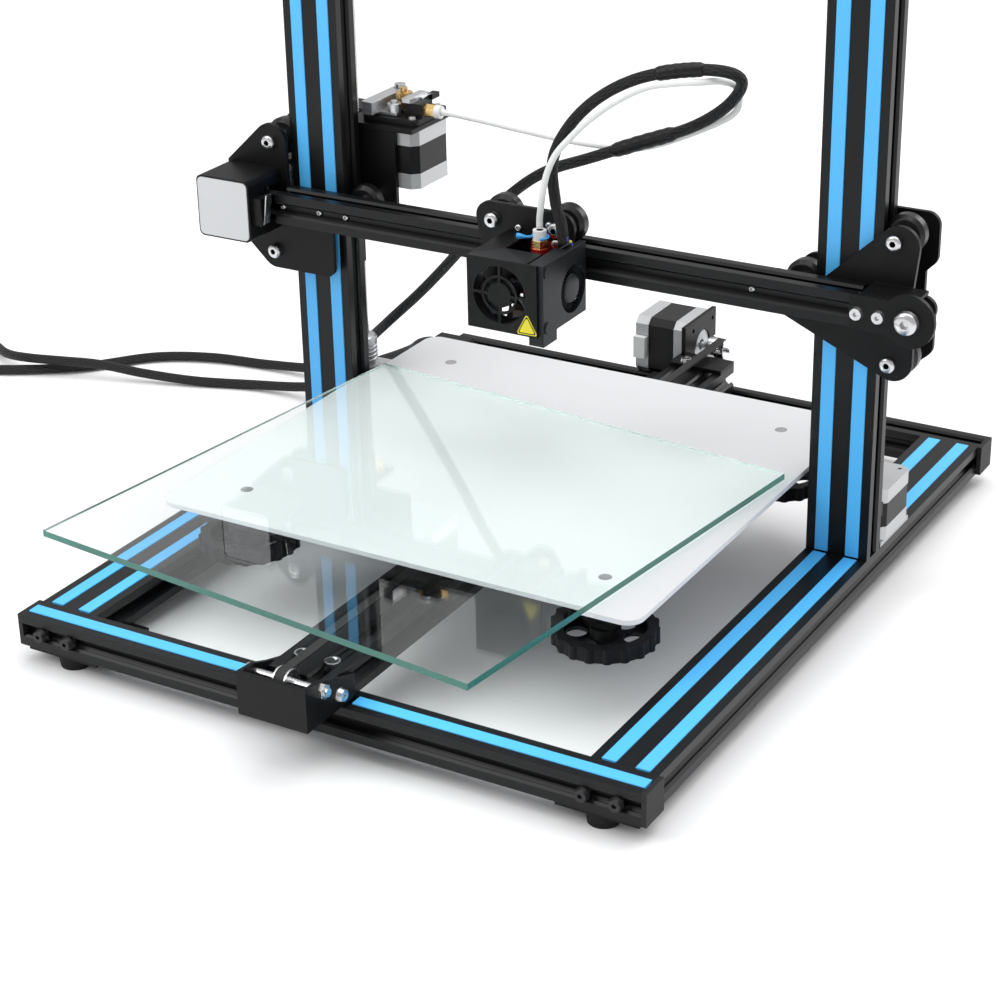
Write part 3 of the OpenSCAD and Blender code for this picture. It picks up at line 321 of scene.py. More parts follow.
for name in ("cross_rails", "x_rail"):
    dress(name, rail_x)
for name in ("side_rails", "y_rail"):
    dress(name, rail_y)
dress("uprights", rail_z)
dress("slot_covers", strip)
dress("end_caps", cap_grey)
for name in ("corner_plates", "y_idler_bracket", "gantry_plates"):
    dress(name, powder)
dress("x_motor_cover", powder, (label_grey, lambda c, n: c[:, 1] < LABEL_Y),
      (bright_steel, lambda c, n: c[:, 0] > SWITCH_LEVER_X))
dress("rubber_feet", foot_rubber)
dress("motor_brackets", powder, (zinc, lambda c, n: abs(c[:, 0]) > OUTBOARD))
dress("frame_motors", cast_cap,
      (lamination, lambda c, n: (abs(c[:, 0]) > OUTBOARD)
       & band(c[:, 2], RISER_STACK_Z, RISER_STACK_HALF) & across(n, 2)),
      (lamination, lambda c, n: band(c[:, 0], BED_STACK_X, BED_STACK_HALF) & across(n, 0)
       & (c[:, 1] > BED_STACK_Y)),
      (moulded, lambda c, n: (abs(c[:, 0]) > OUTBOARD) & (c[:, 1] < RISER_PLUG_Y)),
      (white_nylon, lambda c, n: (abs(c[:, 0]) < OUTBOARD) & (c[:, 1] < BED_PLUG_Y)))
dress("frame_fixings", bright_steel,
      (black_oxide, lambda c, n: abs(c[:, 1]) > END_FACE_Y),
      (bright_steel, lambda c, n: (abs(c[:, 0]) < RAIL_FIXING_X) & (abs(c[:, 1]) > RAIL_FIXING_Y)),
      (moulded, lambda c, n: (band(c[:, 1], BED_SWITCH_Y, BED_SWITCH_HALF) & (c[:, 2] < BED_SWITCH_TOP))
       | band(c[:, 1], GANTRY_SWITCH_Y, GANTRY_SWITCH_HALF)),
      (black_oxide, lambda c, n: band(c[:, 1], RING_SCREW_Y, RING_SCREW_HALF)
       & (c[:, 2] < RING_SCREW_TOP) & (n[:, 2] > 0.3)))

# %% Bed finishes
BEARING_RADIUS = 0.0053
dress("bed_carriage", powder)
dress("bed_plate", bed_face)
dress("bed_screws", bright_steel)
dress("bed_springs", bright_steel)
for name in ("knob_fl", "knob_fr", "knob_rl", "knob_rr"):
    dress(name, moulded)
for name in [n for n in nodes if "wheel" in n]:
    low, high = (np.array(c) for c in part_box(name))
    centre, axis = (low + high) / 2, int(np.argmin(high - low))
    dress(name, wheel_black,
          (bright_steel, lambda c, n, a=axis, m=centre: near_axis(c.copy(), a, m, BEARING_RADIUS)))
for name in ("y_pulley", "y_idler", "x_pulley", "x_idler"):
    dress(name, pulley_alloy)

# %% Gantry and carriage finishes
SCREW_X, SCREW_Y = 0.185, 0.087
FAN_X, FAN_Z = -0.0009, 0.195
BETWEEN_MOTORS_X = -0.2
BELT_STACK_Y, BELT_STACK_HALF = 0.0577, 0.0105
FEED_STACK_Z, FEED_STACK_HALF = 0.22765, 0.0098
ARM_Z, ARM_Y, FITTING_X, FITTING_COLLAR_X = 0.2631, 0.1011, -0.1269, -0.1199
LEAD_NUT_REACH = 0.0115
SHEET_FRONT, SHEET_BACK = 0.0086, 0.0118
FAN_BACK, FAN_FRONT, FAN_REACH = -0.028, -0.0384, 0.026
WRAP_LOW, WRAP_HIGH, BRASS_LOW, BRASS_HIGH, COLLAR_LOW = 0.1659, 0.1785, 0.2145, 0.2195, 0.2192

dress("gantry_motors", cast_cap,
      (lamination, lambda c, n: (c[:, 0] < BETWEEN_MOTORS_X)
       & band(c[:, 1], BELT_STACK_Y, BELT_STACK_HALF) & across(n, 1)),
      (lamination, lambda c, n: (c[:, 0] > BETWEEN_MOTORS_X)
       & band(c[:, 2], FEED_STACK_Z, FEED_STACK_HALF) & across(n, 2)))
dress("extruder_body", moulded,
      (lever_alloy, lambda c, n: (c[:, 2] > ARM_Z) & (c[:, 1] < ARM_Y)),
      (brass, lambda c, n: c[:, 0] > FITTING_X),
      (white_nylon, lambda c, n: c[:, 0] > FITTING_COLLAR_X))
dress("extruder_gear", brass)
dress("extruder_lever", lever_alloy)
dress("gantry_fixings", bright_steel,
      (brass, lambda c, n: band(abs(c[:, 0]), SCREW_X, LEAD_NUT_REACH)
       & band(c[:, 1], SCREW_Y, LEAD_NUT_REACH)))
dress("carriage_plate", powder,
      (bright_steel, lambda c, n: (c[:, 1] < SHEET_FRONT) | (c[:, 1] > SHEET_BACK)))
dress("shroud", powder,
      (fan_black, lambda c, n: (c[:, 1] < FAN_BACK) & (c[:, 1] > FAN_FRONT)
       & near_axis(c.copy(), 1, (FAN_X, 0, FAN_Z), FAN_REACH)))
dress("blower", fan_black)
dress("blower_rotor", fan_black)
dress("hot_end", sink_red,
      (brass, lambda c, n: c[:, 2] < WRAP_LOW),
      (heat_tape, lambda c, n: (c[:, 2] > WRAP_LOW) & (c[:, 2] < WRAP_HIGH)),
      (brass, lambda c, n: (c[:, 2] > BRASS_LOW) & (c[:, 2] < BRASS_HIGH)),
      (white_nylon, lambda c, n: c[:, 2] > COLLAR_LOW))

# %% [markdown]
# New pieces start from two tools. `surface` turns a grid of points into a mesh that is closed round
# each row, and along its length too when asked. Its UV map has u round and v along, in metres where
# a length is given. `sweep` carries a ring of a given radius along a path, turning it as little as
# it can from ring to ring.

# %% Grid surfaces and sweeps
def new_piece(name, grid, faces, material):
    """Object at the origin with one finish, its mesh made from a grid's points and the faces."""
    mesh = bpy.data.meshes.new(name)
    mesh.from_pydata(grid.reshape(-1, 3).tolist(), [], faces)
    mesh.materials.append(material)
    mesh.update()
    piece = bpy.data.objects.new(name, mesh)
    scene.collection.objects.link(piece)
    return piece

def surface(name, grid, material, along=False, length=None, flip=False):
    """Mesh of a (rows, columns, 3) grid. Quads join neighbours round each row and from row to row;
    the last row joins the first with along, and one face closes each end row without it."""
    rows, cols = grid.shape[:2]
    index = np.arange(rows * cols).reshape(rows, cols)
    next_row = np.roll(index, -1, 0) if along else index[1:]
    here = index if along else index[:-1]
    quads = np.stack([here, np.roll(here, -1, 1), np.roll(next_row, -1, 1), next_row], -1)
    faces = quads.reshape(-1, 4)
    faces = (faces[:, ::-1] if flip else faces).tolist()
    if not along:
        ends = [index[0][::-1].tolist(), index[-1].tolist()]
        faces += [e[::-1] for e in ends] if flip else ends
    piece = new_piece(name, grid, faces, material)
    mesh = piece.data
    run = np.linspace(0, 1, rows) * (length or 1.0)
    corner = np.empty(len(mesh.loops), np.int32)
    mesh.loops.foreach_get("vertex_index", corner)
    uv = np.stack([(corner % cols) / cols, run[corner // cols]], -1)
    seam = uv[:quads.size, 0].reshape(-1, 4)
    seam[(seam.max(1) - seam.min(1) > 0.5)[:, None] & (seam < 0.5)] += 1
    uv[:quads.size, 0] = seam.ravel()
    mesh.uv_layers.new(name="UVMap").data.foreach_set("uv", uv.ravel())
    mesh.polygons.foreach_set("use_smooth", [True] * len(mesh.polygons))
    mesh.update()
    return piece

def smooth_path(points, steps):
    """Catmull-Rom curve through points, steps pieces between neighbours."""
    p = np.asarray(points, float)
    before = np.vstack([p[:1], p[:-1]])[:-1]
    after = np.vstack([p[1:], p[-1:]])[1:]
    a, b = p[:-1], p[1:]
    t = (np.arange(steps) / steps)[None, :, None]
    a, b, c0, c3 = a[:, None], b[:, None], before[:, None], after[:, None]
    curve = 0.5 * (2 * a + (b - c0) * t + (2 * c0 - 5 * a + 4 * b - c3) * t**2
                   + (3 * a - c0 - 3 * b + c3) * t**3)
    return np.vstack([curve.reshape(-1, 3), p[-1:]])

def even_path(path, gap):
    """The same line with points an even gap apart, and its length."""
    run = np.concatenate([[0], np.cumsum(np.linalg.norm(np.diff(path, axis=0), axis=1))])
    count = max(2, int(run[-1] / gap))
    where = np.linspace(0, run[-1], count + 1)
    return np.stack([np.interp(where, run, path[:, k]) for k in range(3)], -1), run[-1]

def ring_frames(path):
    """Unit side and normal at each point, carried along so that the ring doesn't twist."""
    ahead = np.gradient(path, axis=0)
    ahead /= np.linalg.norm(ahead, axis=1)[:, None]
    side = np.cross(ahead[0], [0.0, 1.0, 0.0] if abs(ahead[0][2]) > 0.9 else [0.0, 0.0, 1.0])
    sides = []
    for direction in ahead:
        side = side - direction * (side @ direction)
        side /= np.linalg.norm(side)
        sides.append(side)
    sides = np.array(sides)
    return sides, np.cross(ahead, sides)

def sweep(path, radius, count=16):
    """Ring of count points about each path point; radius is one number or one per point."""
    sides, normals = ring_frames(path)
    turn = np.linspace(0, 2 * np.pi, count, endpoint=False)
    radius = np.broadcast_to(np.asarray(radius, float), len(path))[:, None, None]
    return (path[:, None] + radius * (np.cos(turn)[None, :, None] * sides[:, None]
                                      + np.sin(turn)[None, :, None] * normals[:, None]))

# %% [markdown]
# The leads are bundles of wires in a braided sleeve, 7 mm thick. One leaves the clamp at the bed's
# rear corner, the other leaves the top of the hot-end carriage, loops over the gantry and comes down
# behind it. Both cross the floor to the left and end in a round screw-lock connector; the length
# out of sight is wound in a neat coil. The routes are the ones that CAD uses.

# %% Lead routes
LEAD = 0.007
ON_FLOOR = 4.1
COIL_WIDE, COIL_NARROW = 41.5, 34.5
ROUTE_STEPS = 12
LEAD_GAP = 0.0025
BED_ROUTE = [(-158.6, 141, 72), (-166, 141, 72), (-178, 147, 66), (-194, 159, 54),
             (-224, 172, 37), (-258, 184, 20), (-300, 190, 8.5), (-345, 188, ON_FLOOR),
             (-390, 180, ON_FLOOR), (-430, 160, ON_FLOOR), (-465, 120, ON_FLOOR),
             (-505, 92, ON_FLOOR), (-545, 74, ON_FLOOR), (-580, 67, ON_FLOOR),
             (-608.4, 66, ON_FLOOR)]
LOOP_ROUTE = [(22, -2, 217.4), (19, 0, 230), (14, 2, 243.6), (11.1, 5, 267), (21.1, 8, 288.7),
              (38.8, 12, 306.8), (61.7, 18, 319.3), (90, 25, 325.7), (111.9, 32, 324.9),
              (115.8, 40, 316.4), (103.1, 45, 300), (79.4, 48, 284.1), (45.5, 50, 269.8)]
DROP_ROUTE = [(45.5, 50, 269.8), (10.5, 52, 255), (-22.7, 55, 240.6), (-50.9, 60, 220.1),
              (-77, 66, 194.5), (-103, 75, 165.7), (-136.5, 87, 132.5), (-172, 100, 100.5),
              (-203, 116, 72.3), (-228, 132, 44), (-256, 146, 20), (-290, 154, 8.5),
              (-330, 150, ON_FLOOR), (-372, 136, ON_FLOOR), (-412, 124, 7.1), (-446, 114, 11.6),
              (-474, 105, 12.4), (-500, 98, 12.4), (-530, 106, 7.6), (-560, 124, ON_FLOOR),
              (-590, 134, ON_FLOOR), (-625, 138, ON_FLOOR), (-654.4, 138, ON_FLOOR)]
TUBE_ROUTE = [(-119.5, 86, 258), (-108, 86, 258), (-84, 83, 257.6), (-52, 77, 257.4),
              (-18, 69, 258.2), (14.2, 60, 261), (44.5, 56, 265), (80.9, 53, 280.5),
              (106.5, 51.8, 296), (108.5, 48.8, 311.5), (104.5, 35, 318.2), (98, 22.5, 320),
              (84, 17, 319), (67.4, 12, 315.5), (49.6, 7, 305.5), (34.8, 3, 293.5),
              (24, 0, 282), (17, -2.4, 273), (12.2, -4, 262), (9.4, -4.6, 250),
              (7.4, -3.6, 240), (5.5, -2, 232), (5.5, -2, 226)]

def coil_path(centre, spin):
    """Flat turns at two radii on three layers, then out along a tangent down to the connector.
    Radius steps in and out between turns, height steps up one lead each two turns."""
    knots = np.array([0, 0.85, 1.15, 1.85, 2.15, 2.85, 3.15, 3.85, 4.15, 5.25])
    radii = np.repeat([COIL_WIDE, COIL_NARROW, COIL_WIDE], [2, 4, 4])
    height = np.repeat(ON_FLOOR + 1000 * LEAD * np.arange(3), [4, 4, 2])
    turns = np.linspace(0.02, 5.25, 460)
    ease = np.interp(turns, knots, np.arange(len(knots)))
    step = ease - np.floor(ease)
    blend_in = np.floor(ease) + step * step * (3 - 2 * step)
    r = np.interp(blend_in, np.arange(len(knots)), radii)
    z = np.interp(blend_in, np.arange(len(knots)), height)
    angle = spin * (np.pi / 2 + 2 * np.pi * turns)
    line = np.stack([centre[0] + r * np.cos(angle), centre[1] + r * np.sin(angle), z], -1)
    out = np.array([[0, 14, 17.9], [0, 30, 14.8], [0, 44, 10.6], [0, 54, 9.1]])
    out[:, 1] *= -spin
    return np.vstack([line, out + [line[-1, 0], line[-1, 1], 0]])

def lead_path(route, coil=None):
    """Smooth route in metres, with its coil joined on where there is one."""
    line = smooth_path(route, ROUTE_STEPS)
    if coil is not None:
        line = np.vstack([line, smooth_path(coil[::4], 4)])
    return even_path(line / 1000, LEAD_GAP)

bed_line, bed_length = lead_path(BED_ROUTE, coil_path((-634, 24.5), 1))
drop_line, drop_length = lead_path(DROP_ROUTE, coil_path((-680, 179.5), -1))
loop_line, loop_length = lead_path(LOOP_ROUTE)
tube_line, tube_length = lead_path(TUBE_ROUTE)
print("lengths", [round(v, 3) for v in (bed_length, drop_length, loop_length, tube_length)])

# %% [markdown]
# A braid is two sets of strands winding opposite ways and crossing over and under. In the shader,
# two sine waves run at mirrored slants round and along the lead, and the higher of the two shows.

# %% Braid finish
def braid_material(name, color, strands, pitch):
    """Height is the larger of sin(u * strands + v / pitch) and sin(u * strands - v / pitch)."""
    mat = finish(name, color, 0.55, 0.0, 2000, bump=0.2, edge=0, spec=0.35)
    tree = mat.node_tree
    shader = tree.nodes["Principled BSDF"]
    place = [n for n in tree.nodes if n.type == "TEX_COORD"][0]
    split = tree.nodes.new("ShaderNodeSeparateXYZ")
    link(tree, place.outputs["UV"], split.inputs["Vector"])
    around = add_node(tree, "ShaderNodeMath")
    around.operation = "MULTIPLY"
    around.inputs[1].default_value = 2 * math.pi * strands
    link(tree, split.outputs["X"], around.inputs[0])
    waves = []
    for hand in (1, -1):
        slant = add_node(tree, "ShaderNodeMath")
        slant.operation = "MULTIPLY_ADD"
        slant.inputs[1].default_value = hand * 2 * math.pi / pitch
        link(tree, split.outputs["Y"], slant.inputs[0])
        link(tree, around.outputs[0], slant.inputs[2])
        wave = add_node(tree, "ShaderNodeMath")
        wave.operation = "SINE"
        link(tree, slant.outputs[0], wave.inputs[0])
        waves.append(wave)
    top = add_node(tree, "ShaderNodeMath")
    top.operation = "MAXIMUM"
    link(tree, waves[0].outputs[0], top.inputs[0])
    link(tree, waves[1].outputs[0], top.inputs[1])
    relief = add_node(tree, "ShaderNodeBump", Strength=0.9, Distance=0.0005)
    link(tree, top.outputs[0], relief.inputs["Height"])
    link(tree, relief.outputs["Normal"], shader.inputs["Normal"])
    return mat

braid = braid_material("braided_sleeve", (0.009, 0.009, 0.010), 10, 0.010)

# %% Leads and filament tube
def lay_lead(name, line, length, radius, material, count=16):
    """Round lead along a line, with v of its UV map in metres."""
    return surface(name, sweep(line, radius, count), material, length=length)

def collar(name, line, start, length, bore, rise, material):
    """Sleeve over a stretch of line: radius swells from bore and falls back at both ends, with a
    sine's faint wrinkles between."""
    picked = even_path(line[start:start + length], 0.0012)[0]
    t = np.linspace(0, 1, len(picked))
    swell = np.clip(np.minimum(t, 1 - t) * 12, 0, 1)
    wrinkle = 0.00012 * np.sin(t * 34) * swell
    return surface(name, sweep(picked, bore + rise * swell + wrinkle, 20), material)

bed_lead = lay_lead("bed_lead", bed_line, bed_length, LEAD / 2, braid)
drop_lead = lay_lead("hot_end_lead", drop_line, drop_length, LEAD / 2, braid)
loop_lead = lay_lead("loop_lead", loop_line, loop_length, LEAD / 2, braid)
tube = lay_lead("filament_tube", tube_line, tube_length, 0.002, white_nylon, 12)

# %% [markdown]
# Each connector is turned aluminium with a knurled ring and a rubber boot. Its surface is a profile
# of radius against length; on the ring the radius also ripples round the axis, which is the knurl.

# %% Connectors
def connector(name, place, hand):
    """Turned profile along Y from place; hand is the way it faces. Stations before 0 are the boot."""
    station = np.array([-10, -9.9, -4, 0, 0, 3, 3, 15, 15, 18, 18, 26, 27, 27, 24.5, 24.5])
    radius = np.array([3.6, 4.9, 5.4, 6.2, 8.3, 8.5, 8.8, 8.8, 8.3, 8.5, 7.6, 7.6, 7.4, 6.2, 6.2,
                       0.3])
    turn = np.linspace(0, 2 * np.pi, 72, endpoint=False)
    knurl = (radius > 8.6)[:, None] * 0.22 * np.cos(24 * turn)[None]
    r = (radius[:, None] - 0.2 + knurl) / 1000
    y = place[1] + hand * station[:, None] / 1000 + 0 * r
    grid = np.stack([place[0] + r * np.cos(turn), y, place[2] + r * np.sin(turn)], -1)
    made = surface(name, grid, pulley_alloy, flip=hand > 0)
    made.data.materials.append(shrink)
    middle = np.empty(len(made.data.polygons) * 3)
    made.data.polygons.foreach_get("center", middle)
    boot = (middle.reshape(-1, 3)[:, 1] - place[1]) * hand < 0
    made.data.polygons.foreach_set("material_index", boot.astype(np.int32))
    return made

bed_plug = connector("bed_connector", (-0.6755, -0.038, 0.0091), -1)
hot_plug = connector("hot_end_connector", (-0.7215, 0.242, 0.0091), 1)
SLEEVE_BORE = 0.0037
splice = collar("lead_splice", np.vstack([loop_line[-11:], drop_line[1:9]]), 0, 19, SLEEVE_BORE,
                0.0009, shrink)
bend_sleeve = collar("bend_sleeve", loop_line, len(loop_line) * 49 // 100, 12, SLEEVE_BORE,
                     0.0007, shrink)

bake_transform(bed_lead)
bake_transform(drop_lead)
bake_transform(loop_lead)
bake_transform(tube)
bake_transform(bend_sleeve)
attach(splice, "gantry")
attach(bed_plug, "frame")
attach(hot_plug, "frame")
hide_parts("bed_cable")
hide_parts("hot_end_cable")
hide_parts("cable_ends")
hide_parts("bowden_tube")

# %% [markdown]
# Many small parts come in sets: fan blades, blower vanes, screw heads. `bunch` makes one mesh of
# any number of equal grids. `turned` revolves a profile of radius against length about an axis.

# %% Sets of grids
def bunch(name, grids, material):
    """One mesh from (copies, rows, columns, 3) grids, each closed round and at both end rows."""
    copies, rows, cols = grids.shape[:3]
    index = np.arange(copies * rows * cols).reshape(copies, rows, cols)
    here, ahead = index[:, :-1], index[:, 1:]
    quads = np.stack([here, np.roll(here, -1, 2), np.roll(ahead, -1, 2), ahead], -1).reshape(-1, 4)
    faces = quads.tolist() + index[:, 0, ::-1].tolist() + index[:, -1].tolist()
    return new_piece(name, grids, faces, material)

def turned(profile, centre, axis, count=32):
    """Grid of radius about an axis through centre; the profile's rows are (length, radius) in mm."""
    turn = np.linspace(0, 2 * np.pi, count, endpoint=False)
    length, radius = np.asarray(profile, float).T / 1000
    grid = np.zeros((len(length), count, 3))
    one, two = (axis + 1) % 3, (axis + 2) % 3
    grid[..., axis] = length[:, None]
    grid[..., one] = radius[:, None] * np.cos(turn)
    grid[..., two] = radius[:, None] * np.sin(turn)
    return grid + np.asarray(centre)

def smooth_by_angle(piece, limit=40):
    """Faces meeting at less than limit degrees shade as one curved surface."""
    mesh = piece.data
    mesh.polygons.foreach_set("use_smooth", [True] * len(mesh.polygons))
    crease = math.cos(math.radians(limit))
    normal = np.empty(len(mesh.polygons) * 3)
    mesh.polygons.foreach_get("normal", normal)
    normal = normal.reshape(-1, 3)
    edge_of = np.empty(len(mesh.loops), np.int32)
    mesh.loops.foreach_get("edge_index", edge_of)
    size = np.empty(len(mesh.polygons), np.int32)
    mesh.polygons.foreach_get("loop_total", size)
    face_of = np.repeat(np.arange(len(size)), size)
    order = np.argsort(edge_of, kind="stable")
    edge, face = edge_of[order], face_of[order]
    pair = np.flatnonzero(edge[1:] == edge[:-1])
    sharp = np.zeros(len(mesh.edges), bool)
    bend = np.einsum("ij,ij->i", normal[face[pair]], normal[face[pair + 1]])
    sharp[edge[pair]] = bend < crease
    mark = mesh.attributes.new("sharp_edge", "BOOLEAN", "EDGE")
    mark.data.foreach_set("value", sharp)
    return piece

# %% [markdown]
# The lead screws have four-start trapezoidal threads: 2 mm from crest to crest, 8 mm per turn. The
# radius is the crest's less a flattened sine of four turns of angle against height. The coupling
# below is a turned sleeve with a helical saw cut, drawn as a shallow groove.

# %% Lead screws
THREAD_LOW, THREAD_HIGH, THREAD_STEP = 0.0880, 0.5880, 0.0004
CREST_RADIUS, CREST_GAP, HALF_DEPTH, STARTS = 0.0040, 0.002, 0.00022, 4
COUPLING_BASE, COUPLING_MM = 0.0706, 22

def lead_thread(name, x):
    """Radius 4 mm less 0.44 mm where sin(4 angle - 2 pi z / 2 mm), flattened, is low."""
    z = np.arange(THREAD_LOW, THREAD_HIGH, THREAD_STEP)
    turn = np.linspace(0, 2 * np.pi, 24, endpoint=False)
    wave = np.sin(STARTS * turn[None] - 2 * np.pi * z[:, None] / CREST_GAP)
    r = CREST_RADIUS - HALF_DEPTH * (1 - np.clip(wave * 1.8, -1, 1))
    grid = np.stack([x + r * np.cos(turn), SCREW_Y + r * np.sin(turn),
                     np.broadcast_to(z[:, None], r.shape)], -1)
    return surface(name, grid, bright_steel)

def coupling(name, x):
    """Sleeve 18.6 mm across with chamfered ends and a groove that climbs 9 mm in three turns."""
    z = np.linspace(0, COUPLING_MM, 90)
    turn = np.linspace(0, 2 * np.pi, 48, endpoint=False)
    climb = (z[:, None] - 6.5) - 9 * (turn[None] / (2 * np.pi)) / 3
    groove = band(climb, 3 * np.round(climb / 3), 0.35) & band(z[:, None], COUPLING_MM / 2, 5)
    ends = np.clip(np.minimum(z, COUPLING_MM - z) / 0.8, 0, 1)[:, None]
    r = (8.5 + 0.8 * ends - 0.5 * groove) / 1000
    grid = np.stack([x + r * np.cos(turn), SCREW_Y + r * np.sin(turn),
                     np.broadcast_to(COUPLING_BASE + z[:, None] / 1000, r.shape)], -1)
    return surface(name, grid, lever_alloy)

screws = []
for side, x in (("left", -SCREW_X), ("right", SCREW_X)):
    thread, sleeve = lead_thread(side + "_thread", x), coupling(side + "_coupling", x)
    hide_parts(side + "_lead_screw")
    for made in (thread, sleeve):
        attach(made, side + "_screw")
    screws += [thread, sleeve]
print("screw faces", [len(m.data.polygons) for m in screws])

# %% [markdown]
# The belts are flat loops with teeth on the inside, 2 mm apart. A loop's line runs straight, round
# one pulley, back and round the other; its inner edge moves in and out with a sine cut flat.

# %% Toothed belts
PITCH_RADIUS, BELT_INNER, BELT_OUTER, BELT_WIDTH = 0.00637, 0.00567, 0.00707, 0.006
TOOTH_GAP, TOOTH_DEPTH, ROW_GAP = 0.002, 0.00055, 0.00025
BEAM_Z, Y_BELT_Z, X_BELT_Y, X_IDLER = 0.202, 0.0523, 0.0247, 0.234

def belt(name, first, last, axis, centre):
    """Rows every 0.25 mm along the loop, four corners each: outer face smooth, inner toothed."""
    span = last - first
    arc = math.pi * PITCH_RADIUS
    total = 2 * (span + arc)
    s_run = np.arange(0, total, ROW_GAP)
    part = [s_run < span, s_run < span + arc, s_run < 2 * span + arc]
    tooth = 0.5 + 0.5 * np.clip(2.5 * np.sin(2 * np.pi * s_run / TOOTH_GAP), -1, 1)
    angle = np.select(part, [np.pi / 2 + 0 * s_run, np.pi / 2 - (s_run - span) / PITCH_RADIUS,
                             -np.pi / 2 + 0 * s_run],
                      -np.pi / 2 - (s_run - 2 * span - arc) / PITCH_RADIUS)
    along = np.select(part, [first + s_run, last + 0 * s_run, last - (s_run - span - arc)], first)
    low = BELT_INNER + TOOTH_DEPTH - TOOTH_DEPTH * tooth
    radius = np.stack([low, low, BELT_OUTER + 0 * low, BELT_OUTER + 0 * low], -1)
    side = np.array([-0.5, 0.5, 0.5, -0.5]) * BELT_WIDTH
    a = along[:, None] + radius * np.cos(angle)[:, None]
    b = radius * np.sin(angle)[:, None]
    grid = np.zeros((len(s_run), 4, 3))
    length_axis, turn_axis = (1, 0) if axis == "y" else (0, 1)
    grid[..., length_axis] = a
    grid[..., turn_axis] = centre[0] + side
    grid[..., 2] = centre[1] + b
    return surface(name, grid, belt_black, along=True, flip=axis == "x")

y_loop = belt("y_toothed_belt", -0.2755, 0.26835, "y", (0.0, Y_BELT_Z))
x_loop = belt("x_toothed_belt", -0.2288, X_IDLER, "x", (X_BELT_Y, BEAM_Z))
for made, cad, body in ((y_loop, "y_belt", "frame"), (x_loop, "x_belt", "gantry")):
    smooth_by_angle(made, 30)
    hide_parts(cad)
    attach(made, body)
    print(made.name, len(made.data.polygons))

# %% [markdown]
# The axial fan has seven broad blades. Each is a thin oval section that turns from 48 degrees at
# the hub to 30 at the tip while it grows wider. The blower's wheel has 30 small slanted vanes on a
# back plate, round a hub.

# %% Fan and blower wheels
BLADE_POINTS = 14

def blades(count, r0, r1, chord, twist, sweep_back, thick, middle, axis, rows=7):
    """Oval section at each radius, turned by twist about the radius, shifted round by sweep_back."""
    t = np.linspace(0, 1, rows)
    r = r0 + (r1 - r0) * t
    phase = np.linspace(0, 2 * np.pi, BLADE_POINTS, endpoint=False)
    wide = (chord[0] + (chord[1] - chord[0]) * t)[:, None] * 0.5 * np.cos(phase)
    deep = thick * np.sin(phase)[None] * np.ones((rows, 1))
    slant = np.radians(twist[0] + (twist[1] - twist[0]) * t)[:, None]
    around = wide * np.cos(slant) - deep * np.sin(slant)
    depth = wide * np.sin(slant) + deep * np.cos(slant)
    home = 2 * np.pi * np.arange(count)[:, None, None] / count
    angle = home + (around / r[:, None] + (sweep_back * t)[:, None])[None]
    grid = np.zeros((count, rows, BLADE_POINTS, 3))
    grid[..., axis] = depth
    grid[..., (axis + 1) % 3] = r[:, None] * np.cos(angle)
    grid[..., (axis + 2) % 3] = r[:, None] * np.sin(angle)
    return grid + np.asarray(middle)

FAN_HUB = [(-4, 7.6), (-3.6, 8.3), (3.4, 8.5), (3.8, 8.4), (4, 8.0), (4, 0.4)]
BLOWER_HUB = [(0.0, 13.9), (0.7, 14.0), (1.0, 13.7), (1.1, 9.3), (6.8, 9.1), (7.4, 8.6), (7.6, 7.6),
              (7.6, 0.5)]
fan_middle = np.array([FAN_X, -0.0334, FAN_Z])
fan_blades = bunch("fan_blades", blades(7, 0.0080, 0.0168, (0.0075, 0.0100), (48, 30), 0.25, 0.0005,
                                        fan_middle, 1), fan_black)
fan_hub = surface("fan_hub", turned(FAN_HUB, fan_middle, 1, 40), fan_black)
wheel_middle = np.array([0.0197, -0.0016, 0.1915])
vane_middle = wheel_middle + [0.0038, 0, 0]
blow_vanes = bunch("blower_vanes", blades(30, 0.0095, 0.0138, (0.0066, 0.0066), (84, 84), 0.28,
                                          0.0003, vane_middle, 0, rows=6), fan_black)
blow_hub = surface("blower_hub", turned(BLOWER_HUB, wheel_middle, 0, 56), fan_black)
for made, body in ((fan_blades, "fan_rotor"), (fan_hub, "fan_rotor"), (blow_vanes, "blower_rotor"),
                   (blow_hub, "blower_rotor")):
    smooth_by_angle(made, 35)
    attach(made, body)
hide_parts("fan_rotor")
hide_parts("blower_rotor")
print("blades", len(fan_blades.data.polygons), "vanes", len(blow_vanes.data.polygons))

# %% [markdown]
# Button-head screws stand on the wheel bolts. The head is a low dome with a six-sided socket: the
# inner rows of the turned grid are pulled onto a hexagon, whose radius at an angle is the flat's
# distance over the cosine of the angle to the nearest flat's middle.

# %% Button heads
def button_head(centre, radius=4.7, rise=1.5, socket=1.7):
    """Dome towards -Y with a hexagonal socket."""
    angle = np.linspace(0, np.pi / 2, 6)[:-1]
    dome = [(-rise * math.sin(a), socket * 1.25 + (radius - socket * 1.25) * math.cos(a))
            for a in angle]
    profile = [(0.05, radius)] + dome + [(-rise, socket * 1.25), (-rise, socket), (0, socket),
                                         (0, 0.1)]
    grid = turned(profile, (0, 0, 0), 1, 36)
    turn = np.linspace(0, 2 * np.pi, 36, endpoint=False)
    hexagon = 1 / np.cos((turn + np.pi / 6) % (np.pi / 3) - np.pi / 6)
    grid[-3:-1, :, 0] *= hexagon
    grid[-3:-1, :, 2] *= hexagon
    return grid[::-1] + np.asarray(centre)

def heads(name, places, body, radius=4.7, rise=1.5, socket=1.7):
    """One piece of equal heads at the places, on one body."""
    made = bunch(name, np.stack([button_head(p, radius, rise, socket) for p in places]),
                 bright_steel)
    smooth_by_angle(made, 40)
    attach(made, body)
    return made

